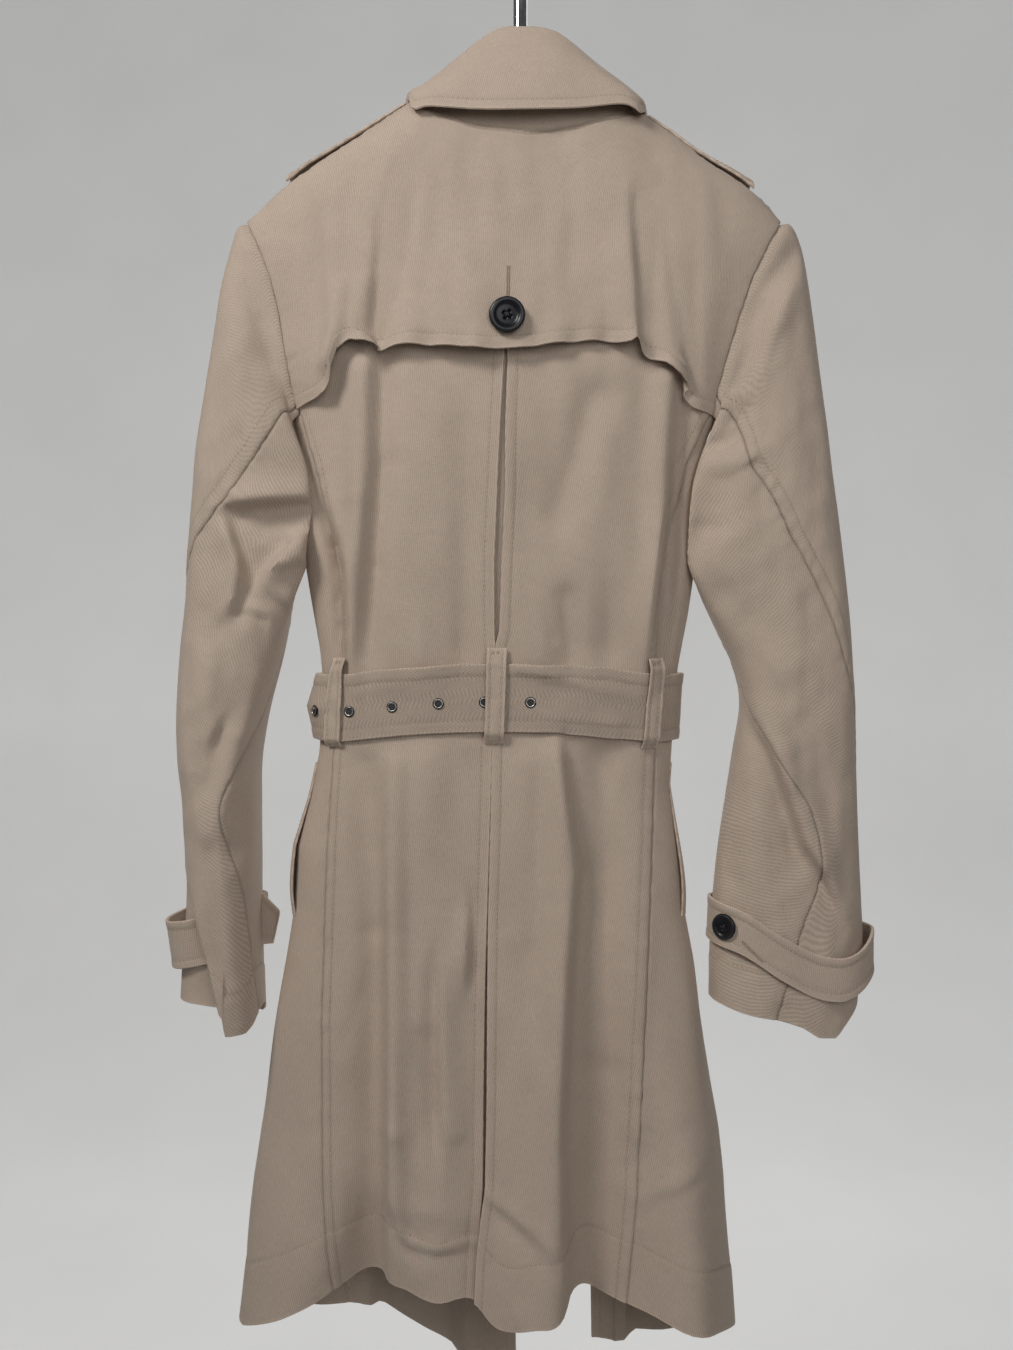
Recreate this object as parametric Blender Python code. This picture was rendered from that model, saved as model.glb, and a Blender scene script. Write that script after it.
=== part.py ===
import math

import bpy
import numpy as np

for thing in list(bpy.data.objects):
    bpy.data.objects.remove(thing)

# A trench coat seen from its back, hanging by its neck loop on a wall hook.
# Lengths are in millimetres until a solid is made. The wall is the plane y = 0,
# the coat hangs on its -Y side with its fronts to the wall, and Z is up.
METRE = 0.001
CLOTH = 1.6
COLLAR_CLOTH = 1.8
STRAP_CLOTH = 2.2
SEAM = 0.3
ROUND = 2.6
ARMPIT = -384.0
SHOULDER = -243.0
WAIST = -596.0


def table(columns, rows):
    data = np.array(rows, float)
    return {"columns": columns, "rows": data[np.argsort(data[:, 0])]}


def read(source, name, at):
    """One column of a table at the given places, on a smooth curve through its rows."""
    knots = source["rows"][:, 0]
    values = source["rows"][:, source["columns"].index(name)]
    slopes = np.gradient(values, knots)
    at = np.clip(np.asarray(at, float), knots[0], knots[-1])
    k = np.clip(np.searchsorted(knots, at, side="right") - 1, 0, len(knots) - 2)
    step = knots[k + 1] - knots[k]
    t = (at - knots[k]) / step
    start = values[k] * (1 + 2 * t) * (1 - t) ** 2 + slopes[k] * step * t * (1 - t) ** 2
    end = values[k + 1] * t * t * (3 - 2 * t) - slopes[k + 1] * step * t * t * (1 - t)
    return start + end


def line(source, name, at):
    """One column of a table at the given places, on straight lines between its rows."""
    return np.interp(at, source["rows"][:, 0], source["rows"][:, source["columns"].index(name)])


def ease(low, high, at):
    t = np.clip((np.asarray(at, float) - low) / (high - low), 0, 1)
    return t * t * (3 - 2 * t)


# Half sections of the body: the depth of its back, its side line and its front at each height.
BODY = table(
    ("height", "back", "side", "front"),
    [
        (-1105, -100, -55, -26),
        (-1000, -98, -55, -26),
        (-900, -93, -54, -27),
        (-800, -90, -53, -28),
        (-700, -88, -52, -29),
        (-620, -86, -52, -30),
        (-570, -86, -52, -30),
        (-500, -90, -53, -29),
        (-384, -94, -55, -27),
        (-300, -93, -57, -27),
        (-243, -92, -58, -28),
        (-200, -92, -60, -29),
        (-150, -92, -61, -30),
    ],
)
LEFT_OUTLINE = table(
    ("height", "x"),
    [
        (-1105, -211),
        (-1048, -208),
        (-1020, -205),
        (-980, -201),
        (-943, -197),
        (-910, -193),
        (-878, -188),
        (-826, -180),
        (-799, -176),
        (-766, -171),
        (-747, -168),
        (-720, -166),
        (-701, -165),
        (-680, -160),
        (-664, -156),
        (-633, -150),
        (-600, -147),
        (-579, -147),
        (-555, -149),
        (-530, -153),
        (-500, -157),
        (-470, -157),
        (-440, -158),
        (-400, -163),
        (-384, -168),
        (-370, -175),
        (-340, -192),
        (-300, -206),
        (-265, -211),
        (-250, -206),
        (-243, -200),
        (-222.8, -177.6),
        (-216.8, -169.5),
        (-200.6, -145.8),
        (-185.8, -122),
        (-172.4, -101.4),
        (-159, -79),
        (-150, -64),
    ],
)
RIGHT_OUTLINE = table(
    ("height", "x"),
    [
        (-1105, 161),
        (-1048, 158),
        (-1020, 156),
        (-980, 153.5),
        (-943, 151),
        (-910, 147),
        (-878, 141.6),
        (-826, 134),
        (-786, 129),
        (-747, 122),
        (-697, 116),
        (-656, 111),
        (-633, 113),
        (-600, 115),
        (-570, 118),
        (-530, 125),
        (-511, 126),
        (-490, 126),
        (-459, 127),
        (-429, 130),
        (-400, 137),
        (-384, 146),
        (-370, 152.5),
        (-340, 170),
        (-300, 192),
        (-265, 202),
        (-250, 197),
        (-243, 191),
        (-229, 179),
        (-222.8, 171),
        (-214.6, 159),
        (-208.7, 149.5),
        (-199, 134),
        (-185.8, 117),
        (-169.5, 93.2),
        (-166, 88),
        (-150, 65),
    ],
)
# Seams of the body: where the armhole, the side panels and the two halves of the back end.
ARMHOLE = table(
    ("height", "left", "right"),
    [
        (-384, -161, 139.5),
        (-365, -165.6, 143),
        (-342, -169.9, 149.5),
        (-313, -174.2, 158.4),
        (-288, -180.3, 167),
        (-263, -189.9, 179),
        (-243, -200, 191),
    ],
)
PANEL_SEAM = table(
    ("height", "left", "right"),
    [
        (-1060, -131, 73),
        (-1020, -133.5, 76),
        (-981, -138, 80),
        (-946, -141, 83),
        (-891, -142.5, 86),
        (-823, -143.3, 90),
        (-761, -142, 93),
        (-700, -140, 96),
        (-631, -136.5, 98.5),
        (-586, -131, 98),
        (-536, -129.5, 100.5),
        (-503, -132, 104),
        (-466, -138.5, 110),
        (-422, -149.5, 121),
        (-384, -161, 139.5),
    ],
)
CENTRE = table(
    ("height", "left", "right"),
    [
        (-1060, -33.6, -33.3),
        (-1034, -33.4, -33.1),
        (-986, -31.2, -30.9),
        (-964, -29, -28.7),
        (-938, -25.6, -25.3),
        (-877, -24.8, -24.5),
        (-753, -24, -23.7),
        (-668, -21.2, -20.9),
        (-621, -20.5, -20.2),
        (-555, -18.3, -17.9),
        (-543, -18.9, -14.8),
        (-493, -18.9, -13.2),
        (-442, -16.8, -10.6),
        (-394, -14.6, -10.4),
        (-371, -13.2, -9.6),
        (-347, -12, -9),
        (-335, -10.6, -10.3),
        (-187, 4.8, 5.1),
    ],
)
FRONT_EDGE = table(
    ("height", "left", "right"),
    [
        (-1105, -3, 56),
        (-900, -6, 53),
        (-620, -9, 50),
        (-520, -12, 49),
        (-400, -28, 53),
        (-235, -50, 62),
        (-200, -58, 67),
    ],
)
NECK = table(
    ("x", "height"),
    [(-79, -159), (-58, -174), (-29, -182.6), (5, -187), (42, -182.6), (68, -174), (88, -166)],
)
BACK_HEM = table(
    ("x", "height"),
    [
        (-208, -1046),
        (-180, -1030),
        (-150, -1024),
        (-134, -1016),
        (-110, -1008),
        (-95, -1012),
        (-60, -1022),
        (-33, -1021),
        (-20, -1030),
        (10, -1028),
        (32, -1018),
        (60, -1020),
        (100, -1026),
        (135, -1030),
        (160, -1046),
    ],
)
FRONT_HEM = table(
    ("x", "height"),
    [
        (-208, -1050),
        (-182, -1060),
        (-160, -1064),
        (-136, -1052),
        (-113, -1056),
        (-69, -1084),
        (-30, -1097),
        (-3, -1101),
        (54, -1084),
        (87, -1083),
        (109, -1076),
        (140, -1062),
        (158, -1048),
    ],
)
# Folds: a soft ridge, or a trough where the depth is negative, along a line from its top to
# its bottom. Depth is measured outwards.
FOLD_COLUMNS = ("x1", "z1", "x2", "z2", "width1", "width2", "depth1", "depth2")
BACK_FOLDS = [
    (-118, -372, -126, -545, 9, 9, 7, 7),
    (-100, -366, -109, -542, 9, 10, -7, -7),
    (106, -375, 99, -545, 9, 9, 8, 7),
    (70, -390, 66, -538, 14, 14, -4, -4),
    (-118, -660, -104, -730, 14, 16, -5, -9),
    (-104, -730, -109, -1060, 18, 26, -9, -40),
    (-90, -662, -90, -1060, 14, 22, 5, 7),
    (-58, -860, -58, -1060, 22, 30, 0, 9),
    (8, -800, 14, -1060, 26, 30, 0, 24),
    (37, -652, 35, -930, 11, 12, 7, 9),
    (49, -654, 47, -930, 10, 12, -8, -12),
    (47, -930, 40, -1060, 12, 18, -12, -26),
    (118, -760, 132, -1060, 24, 30, 0, 34),
    (-168, -900, -178, -1060, 24, 26, 0, 14),
    (-52, -660, -50, -760, 12, 12, -3, -4),
]
FRONT_FOLDS = [
    (-80, -420, -60, -520, 24, 18, -5, -5),
    (90, -420, 80, -520, 22, 18, -5, -5),
    (-60, -660, -70, -1080, 22, 34, -4, 8),
    (-130, -660, -150, -1080, 20, 30, 4, -10),
    (-25, -700, -30, -1090, 20, 30, 3, -6),
    (90, -660, 110, -1080, 20, 30, 4, -10),
    (60, -700, 78, -1080, 20, 26, -3, 6),
]


def folds(x, z, rows):
    """Height of a group of folds at the given places."""
    total = np.zeros(np.broadcast(x, z).shape)
    for row in rows:
        fold = dict(zip(FOLD_COLUMNS, row))
        run_x = fold["x2"] - fold["x1"]
        run_z = fold["z2"] - fold["z1"]
        t = ((x - fold["x1"]) * run_x + (z - fold["z1"]) * run_z) / (run_x**2 + run_z**2)
        t = np.clip(t, 0, 1)
        away = np.hypot(x - fold["x1"] - t * run_x, z - fold["z1"] - t * run_z)
        width = fold["width1"] + t * (fold["width2"] - fold["width1"])
        depth = fold["depth1"] + t * (fold["depth2"] - fold["depth1"])
        total += depth * np.exp(-((away / width) ** 2))
    return total


def across(x, z):
    """How far a point is from the middle of the body, where the outline is 1."""
    left = line(LEFT_OUTLINE, "x", z)
    right = line(RIGHT_OUTLINE, "x", z)
    return np.clip((2 * x - left - right) / (right - left), -1, 1)


def fold_lift(x, z, face):
    rows = BACK_FOLDS if face > 0 else FRONT_FOLDS
    return folds(x, z, rows) * (1 - across(x, z) ** 4)


def body_depth(x, z, face):
    """Depth of the body's outer side. Face is 1 for its back and -1 for its front."""
    full = (1 - np.abs(across(x, z)) ** ROUND) ** (1 / ROUND)
    side = read(BODY, "side", z)
    end = read(BODY, "back" if face > 0 else "front", z)
    return side + (end - side) * full - face * fold_lift(x, z, face)


def outside(x, y, z):
    """Negative inside the body's outer side and positive outside it."""
    side = read(BODY, "side", z)
    rear = y + fold_lift(x, z, 1) < side
    smooth = np.where(rear, y + fold_lift(x, z, 1), y - fold_lift(x, z, -1))
    end = np.where(rear, read(BODY, "back", z), read(BODY, "front", z))
    return np.abs(across(x, z)) ** ROUND + np.abs((smooth - side) / (end - side)) ** ROUND - 1


def body_normal(points):
    x, y, z = points[..., 0], points[..., 1], points[..., 2]
    step = 0.05
    slope = np.stack(
        (
            outside(x + step, y, z) - outside(x - step, y, z),
            outside(x, y + step, z) - outside(x, y - step, z),
            outside(x, y, z + step) - outside(x, y, z - step),
        ),
        axis=-1,
    )
    return slope / np.linalg.norm(slope, axis=-1, keepdims=True)


def surface_normal(points, outward):
    """Normals of a grid of points, on the side that faces the given direction."""
    down = np.gradient(points, axis=0)
    along = np.gradient(points, axis=1)
    normal = np.cross(along, down)
    normal = normal / np.linalg.norm(normal, axis=-1, keepdims=True)
    return normal * np.sign((normal * np.array(outward, float)).sum())


MATERIALS = {}


def finish(name, colour, roughness, metallic=0.0):
    material = bpy.data.materials.new(name)
    material.use_nodes = True
    shader = material.node_tree.nodes["Principled BSDF"]
    shader.inputs["Base Color"].default_value = (*colour, 1)
    shader.inputs["Roughness"].default_value = roughness
    shader.inputs["Metallic"].default_value = metallic
    MATERIALS[name] = material


finish("beige_twill", (0.42, 0.35, 0.28), 0.9)
finish("navy_button", (0.012, 0.014, 0.022), 0.35)
finish("dark_metal", (0.09, 0.09, 0.1), 0.3, 1.0)
finish("chrome", (0.55, 0.55, 0.57), 0.18, 1.0)


def solid(name, points, faces, material):
    mesh = bpy.data.meshes.new(name)
    mesh.from_pydata((np.asarray(points) * METRE).tolist(), [], faces)
    mesh.update()
    volume = 0.0
    for face in mesh.polygons:
        corner = [mesh.vertices[i].co for i in face.vertices]
        for i in range(1, len(corner) - 1):
            volume += corner[0].dot(corner[i].cross(corner[i + 1]))
    if volume < 0:
        mesh.flip_normals()
    mesh.materials.append(MATERIALS[material])
    piece = bpy.data.objects.new(name, mesh)
    bpy.context.scene.collection.objects.link(piece)
    return piece


def wall(name, outer, normals, thickness, material="beige_twill", closed=False):
    """A wall of cloth: a grid of outer points, and the same grid moved in by its thickness."""
    rows, columns = outer.shape[:2]
    inner = outer - normals * thickness
    points = np.concatenate((outer.reshape(-1, 3), inner.reshape(-1, 3)))
    back = rows * columns
    faces = []
    reach = columns if closed else columns - 1
    for r in range(rows - 1):
        for c in range(reach):
            n = (c + 1) % columns
            a, b = r * columns + c, r * columns + n
            d, e = a + columns, b + columns
            faces.append((a, b, e, d))
            faces.append((back + a, back + d, back + e, back + b))
    for c in range(reach):
        n = (c + 1) % columns
        last = (rows - 1) * columns
        faces.append((c, back + c, back + n, n))
        faces.append((last + c, last + n, back + last + n, back + last + c))
    if not closed:
        for r in range(rows - 1):
            a, d = r * columns, (r + 1) * columns
            faces.append((a, d, back + d, back + a))
            a, d = a + columns - 1, d + columns - 1
            faces.append((a, back + a, back + d, d))
    return solid(name, points, faces, material)


def turned(name, profile, centre, out, segments, material, ring=False):
    """A turned solid: radius and height pairs about an axis that points out."""
    out = np.array(out, float) / np.linalg.norm(out)
    side = np.cross(out, (0, 0, 1.0) if abs(out[2]) < 0.9 else (1.0, 0, 0))
    side = side / np.linalg.norm(side)
    other = np.cross(out, side)
    points = []
    for radius, height in profile:
        for i in range(segments):
            a = 2 * math.pi * i / segments
            around = side * math.cos(a) + other * math.sin(a)
            points.append(np.array(centre) + out * height + around * radius)
    faces = []
    count = len(profile)
    for k in range(count if ring else count - 1):
        for i in range(segments):
            a, b = k * segments + i, k * segments + (i + 1) % segments
            d = (k + 1) % count * segments + i
            e = (k + 1) % count * segments + (i + 1) % segments
            faces.append((a, b, e, d))
    if not ring:
        faces.append(tuple(range(segments))[::-1])
        faces.append(tuple(range((count - 1) * segments, count * segments)))
    return solid(name, points, faces, material)


# Panels of the body. Every panel has the same rows below the armpit, so that its edges run
# along those of its neighbours.
LOWER_ROWS = np.linspace(0, 1, 25)
UPPER_ROWS = np.sin(np.linspace(0, math.pi / 2, 9))[1:]
SHOULDER_STEPS = 5


def top_height(x, front_edge=None):
    """Height of the neck seam and the shoulder line over x."""
    slopes = []
    for outline in (LEFT_OUTLINE["rows"], RIGHT_OUTLINE["rows"]):
        slope = outline[outline[:, 0] >= SHOULDER]
        slope = slope[np.argsort(slope[:, 1])]
        slopes.append(np.interp(x, slope[:, 1], slope[:, 0]))
    left, right = slopes
    shoulder = np.where(x < 0, left, right)
    if front_edge is None:
        neck = line(NECK, "height", x)
    else:
        corner = -79.0 if front_edge < 0 else 88.0
        t = (x - front_edge) / (corner - front_edge)
        neck = -200 + t * (line(NECK, "height", corner) + 200)
    over_neck = (x > -79) & (x < 88)
    return np.where(over_neck, neck, shoulder)


def main_panel(name, hand, face):
    """A half of the back or a front, from its centre or front edge to the armhole."""
    sign = -1 if hand == "left" else 1
    corner_x = -79.0 if sign < 0 else 88.0
    end_x = float(line(ARMHOLE, hand, SHOULDER))
    inner_edge = CENTRE if face > 0 else FRONT_EDGE
    hem = BACK_HEM if face > 0 else FRONT_HEM
    start_x = float(line(inner_edge, hand, -187 if face > 0 else -200))
    corner = (corner_x - start_x) / (end_x - start_x)
    neck_steps = 4 if face > 0 else 2
    parts = np.concatenate(
        (np.linspace(0, corner, neck_steps, endpoint=False), np.linspace(corner, 1, SHOULDER_STEPS + 1))
    )
    rows = []
    hem_seam = float(line(PANEL_SEAM, hand, -1040))
    hem_edge = float(line(inner_edge, hand, -1040))
    hem_x = hem_edge + parts * (hem_seam - hem_edge)
    hem_z = line(hem, "height", hem_x)
    for v in LOWER_ROWS:
        z = hem_z + v * (ARMPIT - hem_z)
        edge = line(inner_edge, hand, z)
        seam = line(PANEL_SEAM, hand, z) - sign * SEAM / 2
        rows.append(np.stack((edge + parts * (seam - edge), z), axis=-1))
    top_x = start_x + parts * (end_x - start_x)
    top_z = top_height(top_x, None if face > 0 else start_x)
    for v in UPPER_ROWS:
        z = ARMPIT + v * (top_z - ARMPIT)
        edge = float(line(inner_edge, hand, z[0]))
        seam = float(line(ARMHOLE, hand, z[-1])) - sign * SEAM / 2
        rows.append(np.stack((edge + parts * (seam - edge), z), axis=-1))
    flat = np.array(rows)
    x, z = flat[..., 0], flat[..., 1]
    y = body_depth(x, z, face)
    points = np.stack((x, y, z), axis=-1)
    normals = body_normal(points)
    points[..., 1] -= face * 0.25
    if face > 0:
        near = np.exp(-(((x - line(CENTRE, hand, z)) / 26) ** 2)) * ease(-750, -820, z)
        points[..., 1] -= near * (4.5 if sign > 0 else -1.5)
    wall(name, points, normals, CLOTH)
    return points


def side_panel(name, hand):
    """The panel under the arm, from the back panel's seam round the side to the front's."""
    columns = 7
    hem_x = float(line(PANEL_SEAM, hand, -1040))
    hem_ends = (line(BACK_HEM, "height", hem_x), -1048, line(FRONT_HEM, "height", hem_x))
    rows = []
    for v in LOWER_ROWS:
        parts = np.linspace(0, 1, columns)
        hem_z = np.interp(parts, (0, 0.45, 1), hem_ends)
        z = hem_z + v * (ARMPIT - hem_z)
        rows.append([side_point(hand, z[i], parts[i]) for i in range(columns)])
    points = np.array(rows)
    normals = body_normal(points)
    wall(name, points, normals, CLOTH)
    return points


def side_point(hand, z, part):
    """A point of the side panel at a height, at a part of its width from back to front."""
    sign = -1 if hand == "left" else 1
    outline = float(line(LEFT_OUTLINE if sign < 0 else RIGHT_OUTLINE, "x", z))
    seam = float(line(PANEL_SEAM, hand, z)) + sign * SEAM / 2
    swing = np.sin(np.linspace(0, math.pi / 2, 40))
    run = seam + (outline - seam) * swing
    x = np.concatenate((run, run[::-1][1:]))
    height = np.full_like(x, z)
    y = np.concatenate((body_depth(run, height[:40], 1), body_depth(run, height[:40], -1)[::-1][1:]))
    length = np.concatenate(((0,), np.cumsum(np.hypot(np.diff(x), np.diff(y)))))
    at = part * length[-1]
    return (float(np.interp(at, length, x)), float(np.interp(at, length, y)), float(z))


BACK = {}
FRONT = {}
SIDE = {}
for hand in ("left", "right"):
    BACK[hand] = main_panel("back_" + hand, hand, 1)
    FRONT[hand] = main_panel("front_" + hand, hand, -1)
    SIDE[hand] = side_panel("side_" + hand, hand)


def strip_behind(name, low, high, half, depth):
    """A strip of cloth behind the centre line of the back."""
    rows = []
    for z in np.linspace(low, high, 9):
        centre = float(line(CENTRE, "left", z) + line(CENTRE, "right", z)) / 2
        rows.append([(centre + half * part, z) for part in (-1, -0.33, 0.33, 1)])
    flat = np.array(rows)
    x, z = flat[..., 0], flat[..., 1]
    points = np.stack((x, body_depth(x, z, 1), z), axis=-1)
    normals = body_normal(points)
    wall(name, points - normals * depth, normals, CLOTH)


strip_behind("pleat_underlay", -568, -352, 24, 2.2)
strip_behind("vent_underlay", -1012, -765, 22, 4.2)

# The storm flap over the upper back, caught in the neck, shoulder and armhole seams.
FLAP_EDGE = table(
    ("x", "height"),
    [
        (-163, -381),
        (-150, -375),
        (-138, -366),
        (-131, -352),
        (-126, -340),
        (-113, -337),
        (-88, -341.6),
        (-50, -344.5),
        (-9, -345),
        (26, -341),
        (58, -338),
        (86, -337),
        (94, -351),
        (105, -355),
        (120, -368),
        (126, -377),
        (139, -383),
    ],
)
FLAP_FOLDS = [
    (-84, -225, -104, -345, 13, 14, -3, -6),
    (-122, -290, -128, -350, 10, 9, 2, 6),
    (82, -220, 88, -340, 9, 8, 3, 10),
    (112, -225, 104, -362, 13, 12, -3, -6),
    (-40, -260, -44, -345, 24, 24, 0, 3),
    (40, -260, 44, -345, 24, 22, 0, -3),
]
FLAP_ROWS = (0, 0.17, 0.34, 0.5, 0.65, 0.78, 0.87, 0.93, 0.965, 0.985, 1)
FLAP_COLUMNS = 29


def flap_points(parts, levels):
    rows = []
    normals = []
    bottom_x = -162.5 + parts * (140 - -162.5)
    bottom_z = line(FLAP_EDGE, "height", bottom_x)
    top_x = -197 + parts * (188 - -197)
    top_z = top_height(top_x) - 3.5
    for v in levels:
        z = bottom_z + v * (top_z - bottom_z)
        left = float(line(ARMHOLE, "left", z[0])) + 2 * SEAM
        right = float(line(ARMHOLE, "right", z[-1])) - 2 * SEAM
        x = left + parts * (right - left)
        hang = (1 - v) ** 1.5 * ease(0, 0.1, np.minimum(parts, 1 - parts))
        out = 2.6 + hang * 6.5
        base = np.stack((x, body_depth(x, z, 1), z), axis=-1)
        normal = body_normal(base)
        away = folds(x, z, FLAP_FOLDS) * ease(0, 0.08, np.minimum(parts, 1 - parts))
        rows.append(base + normal * (out + np.maximum(away, 0.4 - hang * 6.5))[:, None])
        normals.append(normal)
    return np.array(rows), np.array(normals)


FLAP, flap_normals = flap_points(np.linspace(0, 1, FLAP_COLUMNS), FLAP_ROWS)
wall("storm_flap", FLAP, flap_normals, CLOTH)

# Sleeves. A row is a section: the points where its outline is seen at its outer and inner
# side, how deep it reaches to the room and to the wall, and where its two seams cross it,
# as parts of the way round from the outer side past the room side.
SLEEVE_COLUMNS = ("row", "outer_x", "outer_z", "inner_x", "inner_z", "near", "far", "seam_1", "seam_2")
SLEEVE = {
    "left": table(
        SLEEVE_COLUMNS,
        [
            (0, -200, -243, -168, -384, -80, -32, 0.44, 0.62),
            (1, -208, -245, -170.5, -391, -84, -28, 0.42, 0.62),
            (2, -213, -260, -170, -401, -86, -26, 0.39, 0.61),
            (3, -220, -288, -168, -417, -88, -24, 0.34, 0.60),
            (4, -226, -324, -165.5, -437, -88, -22, 0.29, 0.60),
            (5, -233.4, -369, -163.5, -458, -88, -20, 0.21, 0.59),
            (6, -239.4, -407, -164, -477, -88, -20, 0.15, 0.59),
            (7, -241.7, -437, -166, -493, -88, -20, 0.10, 0.58),
            (8, -244.7, -474, -169, -512, -88, -19, 0.02, 0.57),
            (9, -247, -519, -173.6, -542, -89, -18, -0.03, 0.55),
            (10, -250.7, -556, -179.5, -568, -90, -16, -0.05, 0.52),
            (11, -253, -601, -188.5, -602, -91, -14, -0.07, 0.47),
            (12, -252, -636, -194, -636, -92, -13, -0.08, 0.36),
            (13, -248.4, -669, -194.5, -669, -93, -12, -0.08, 0.29),
            (14, -247, -706, -194.5, -706, -93, -12, -0.09, 0.33),
            (15, -247, -743, -194.5, -743, -93, -12, -0.09, 0.38),
            (16, -249, -786, -193.5, -786, -93, -12, -0.10, 0.42),
            (17, -251, -832, -192, -832, -93, -13, -0.10, 0.45),
        ],
    ),
    "right": table(
        SLEEVE_COLUMNS,
        [
            (0, 191, -243, 146, -384, -80, -32, 0.45, 0.62),
            (1, 200, -244, 147.5, -391, -84, -28, 0.45, 0.62),
            (2, 208, -262, 144, -402, -86, -26, 0.42, 0.61),
            (3, 213.4, -294, 139.5, -420, -88, -24, 0.36, 0.60),
            (4, 218.7, -332, 135, -440, -88, -23, 0.31, 0.60),
            (5, 223, -365, 132.5, -461, -88, -23, 0.285, 0.60),
            (6, 227, -395, 131, -479, -88, -24, 0.25, 0.60),
            (7, 230.6, -426, 130, -497, -88, -24, 0.22, 0.59),
            (8, 235, -459, 134.8, -515, -88, -25, 0.20, 0.58),
            (9, 239.6, -500, 146, -541, -88, -26, 0.165, 0.56),
            (10, 243.4, -541, 158.8, -570, -88, -28, 0.13, 0.52),
            (11, 245.6, -586, 163.3, -596, -88, -30, 0.08, 0.45),
            (12, 247, -631, 158, -631, -88, -30, 0.02, 0.34),
            (13, 248, -669, 152, -669, -88, -30, -0.02, 0.22),
            (14, 249.4, -706, 146.5, -706, -88, -30, -0.04, 0.19),
            (15, 251, -743, 143, -743, -88, -30, -0.05, 0.22),
            (16, 252, -786, 141.5, -786, -88, -29, -0.06, 0.265),
            (17, 248, -832, 141, -832, -88, -28, -0.06, 0.30),
        ],
    ),
}
# Folds of the sleeves, seen from the room.
SLEEVE_FOLDS = {
    "left": [
        (-222, -450, -165, -437, 9, 8, 5, 4),
        (-216, -466, -170, -456, 9, 8, -7, -6),
        (-184, -566, -196, -620, 9, 11, 6, 8),
        (-196, -620, -222, -690, 11, 12, 8, 3),
        (-182, -590, -196, -650, 8, 10, -6, -8),
        (-212, -500, -196, -545, 10, 10, -6, -4),
        (-196, -300, -178, -352, 12, 10, -4, -4),
    ],
    "right": [
        (168, -590, 190, -632, 9, 11, 5, 8),
        (190, -632, 214, -700, 11, 10, 8, 7),
        (214, -700, 236, -755, 10, 9, 7, 3),
        (176, -628, 206, -716, 10, 12, -5, -6),
        (196, -272, 172, -312, 11, 11, -4, -4),
        (196, -322, 158, -400, 12, 11, -5, -4),
        (150, -470, 205, -520, 16, 18, -3, 3),
    ],
}
SLEEVE_TURN = 0.9
AROUND = 121


def armhole_loop(hand):
    """The armhole's edge, from the shoulder down the back, under the arm and up the front."""
    sign = -1 if hand == "left" else 1
    low = len(LOWER_ROWS) - 1
    back = BACK[hand][low:, -1][::-1]
    under = SIDE[hand][-1]
    front = FRONT[hand][low:, -1]
    loop = np.concatenate((back, under, front))
    loop[:, 0] += sign * SLEEVE_TURN
    return loop


def resampled(loop, parts):
    length = np.concatenate(((0,), np.cumsum(np.linalg.norm(np.diff(loop, axis=0), axis=1))))
    at = np.asarray(parts) * length[-1]
    return np.stack([np.interp(at, length, loop[:, i]) for i in range(3)], axis=-1)


def section(hand, row, plain=False):
    """A closed section of a sleeve as its table gives it, with its folds unless it is plain."""
    part = {name: float(read(SLEEVE[hand], name, row)) for name in SLEEVE_COLUMNS}
    angle = np.linspace(0, 2 * math.pi, AROUND)
    cosine, sine = np.cos(angle), np.sin(angle)
    reach = np.sign(cosine) * np.abs(cosine) ** (2 / ROUND)
    deep = np.abs(sine) ** (2 / ROUND)
    middle = (part["near"] + part["far"]) / 2
    half = (part["far"] - part["near"]) / 2
    x = (part["outer_x"] + part["inner_x"]) / 2 + reach * (part["outer_x"] - part["inner_x"]) / 2
    z = (part["outer_z"] + part["inner_z"]) / 2 + reach * (part["outer_z"] - part["inner_z"]) / 2
    lift = np.zeros_like(x)
    if not plain:
        lift = folds(x, z, SLEEVE_FOLDS[hand]) * (1 - reach**4) * float(ease(0, 2, row))
    y = middle - np.sign(sine) * deep * half - np.where(sine > 0, lift, -0.5 * lift)
    return np.stack((x, y, z), axis=-1)


def sleeve_loop(hand, row):
    """A closed section of a sleeve, starting at its outer side, past the room side."""
    if row == 0:
        return armhole_loop(hand)
    loop = section(hand, row)
    blend = float(ease(0, 3, row))
    if blend < 1:
        parts = np.linspace(0, 1, AROUND)
        start = resampled(armhole_loop(hand), parts)
        lean = resampled(loop, parts)
        first = resampled(section(hand, 0, plain=True), parts)
        loop = lean + (start - first) * (1 - blend)
    return loop


SLEEVE_ROWS = np.concatenate((np.linspace(0, 3, 7), np.linspace(4, 17, 18)))
UPPER_STEPS = 13
UNDER_STEPS = 9


def sleeve_points(hand, rows, start, end, count):
    """Points of a sleeve between two seams, a row for each section."""
    points = []
    for row in rows:
        first = start(row)
        last = end(row)
        parts = np.linspace(first, last, count)
        points.append(resampled(sleeve_loop(hand, row), np.mod(parts, 1.0)))
    return np.array(points)


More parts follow.
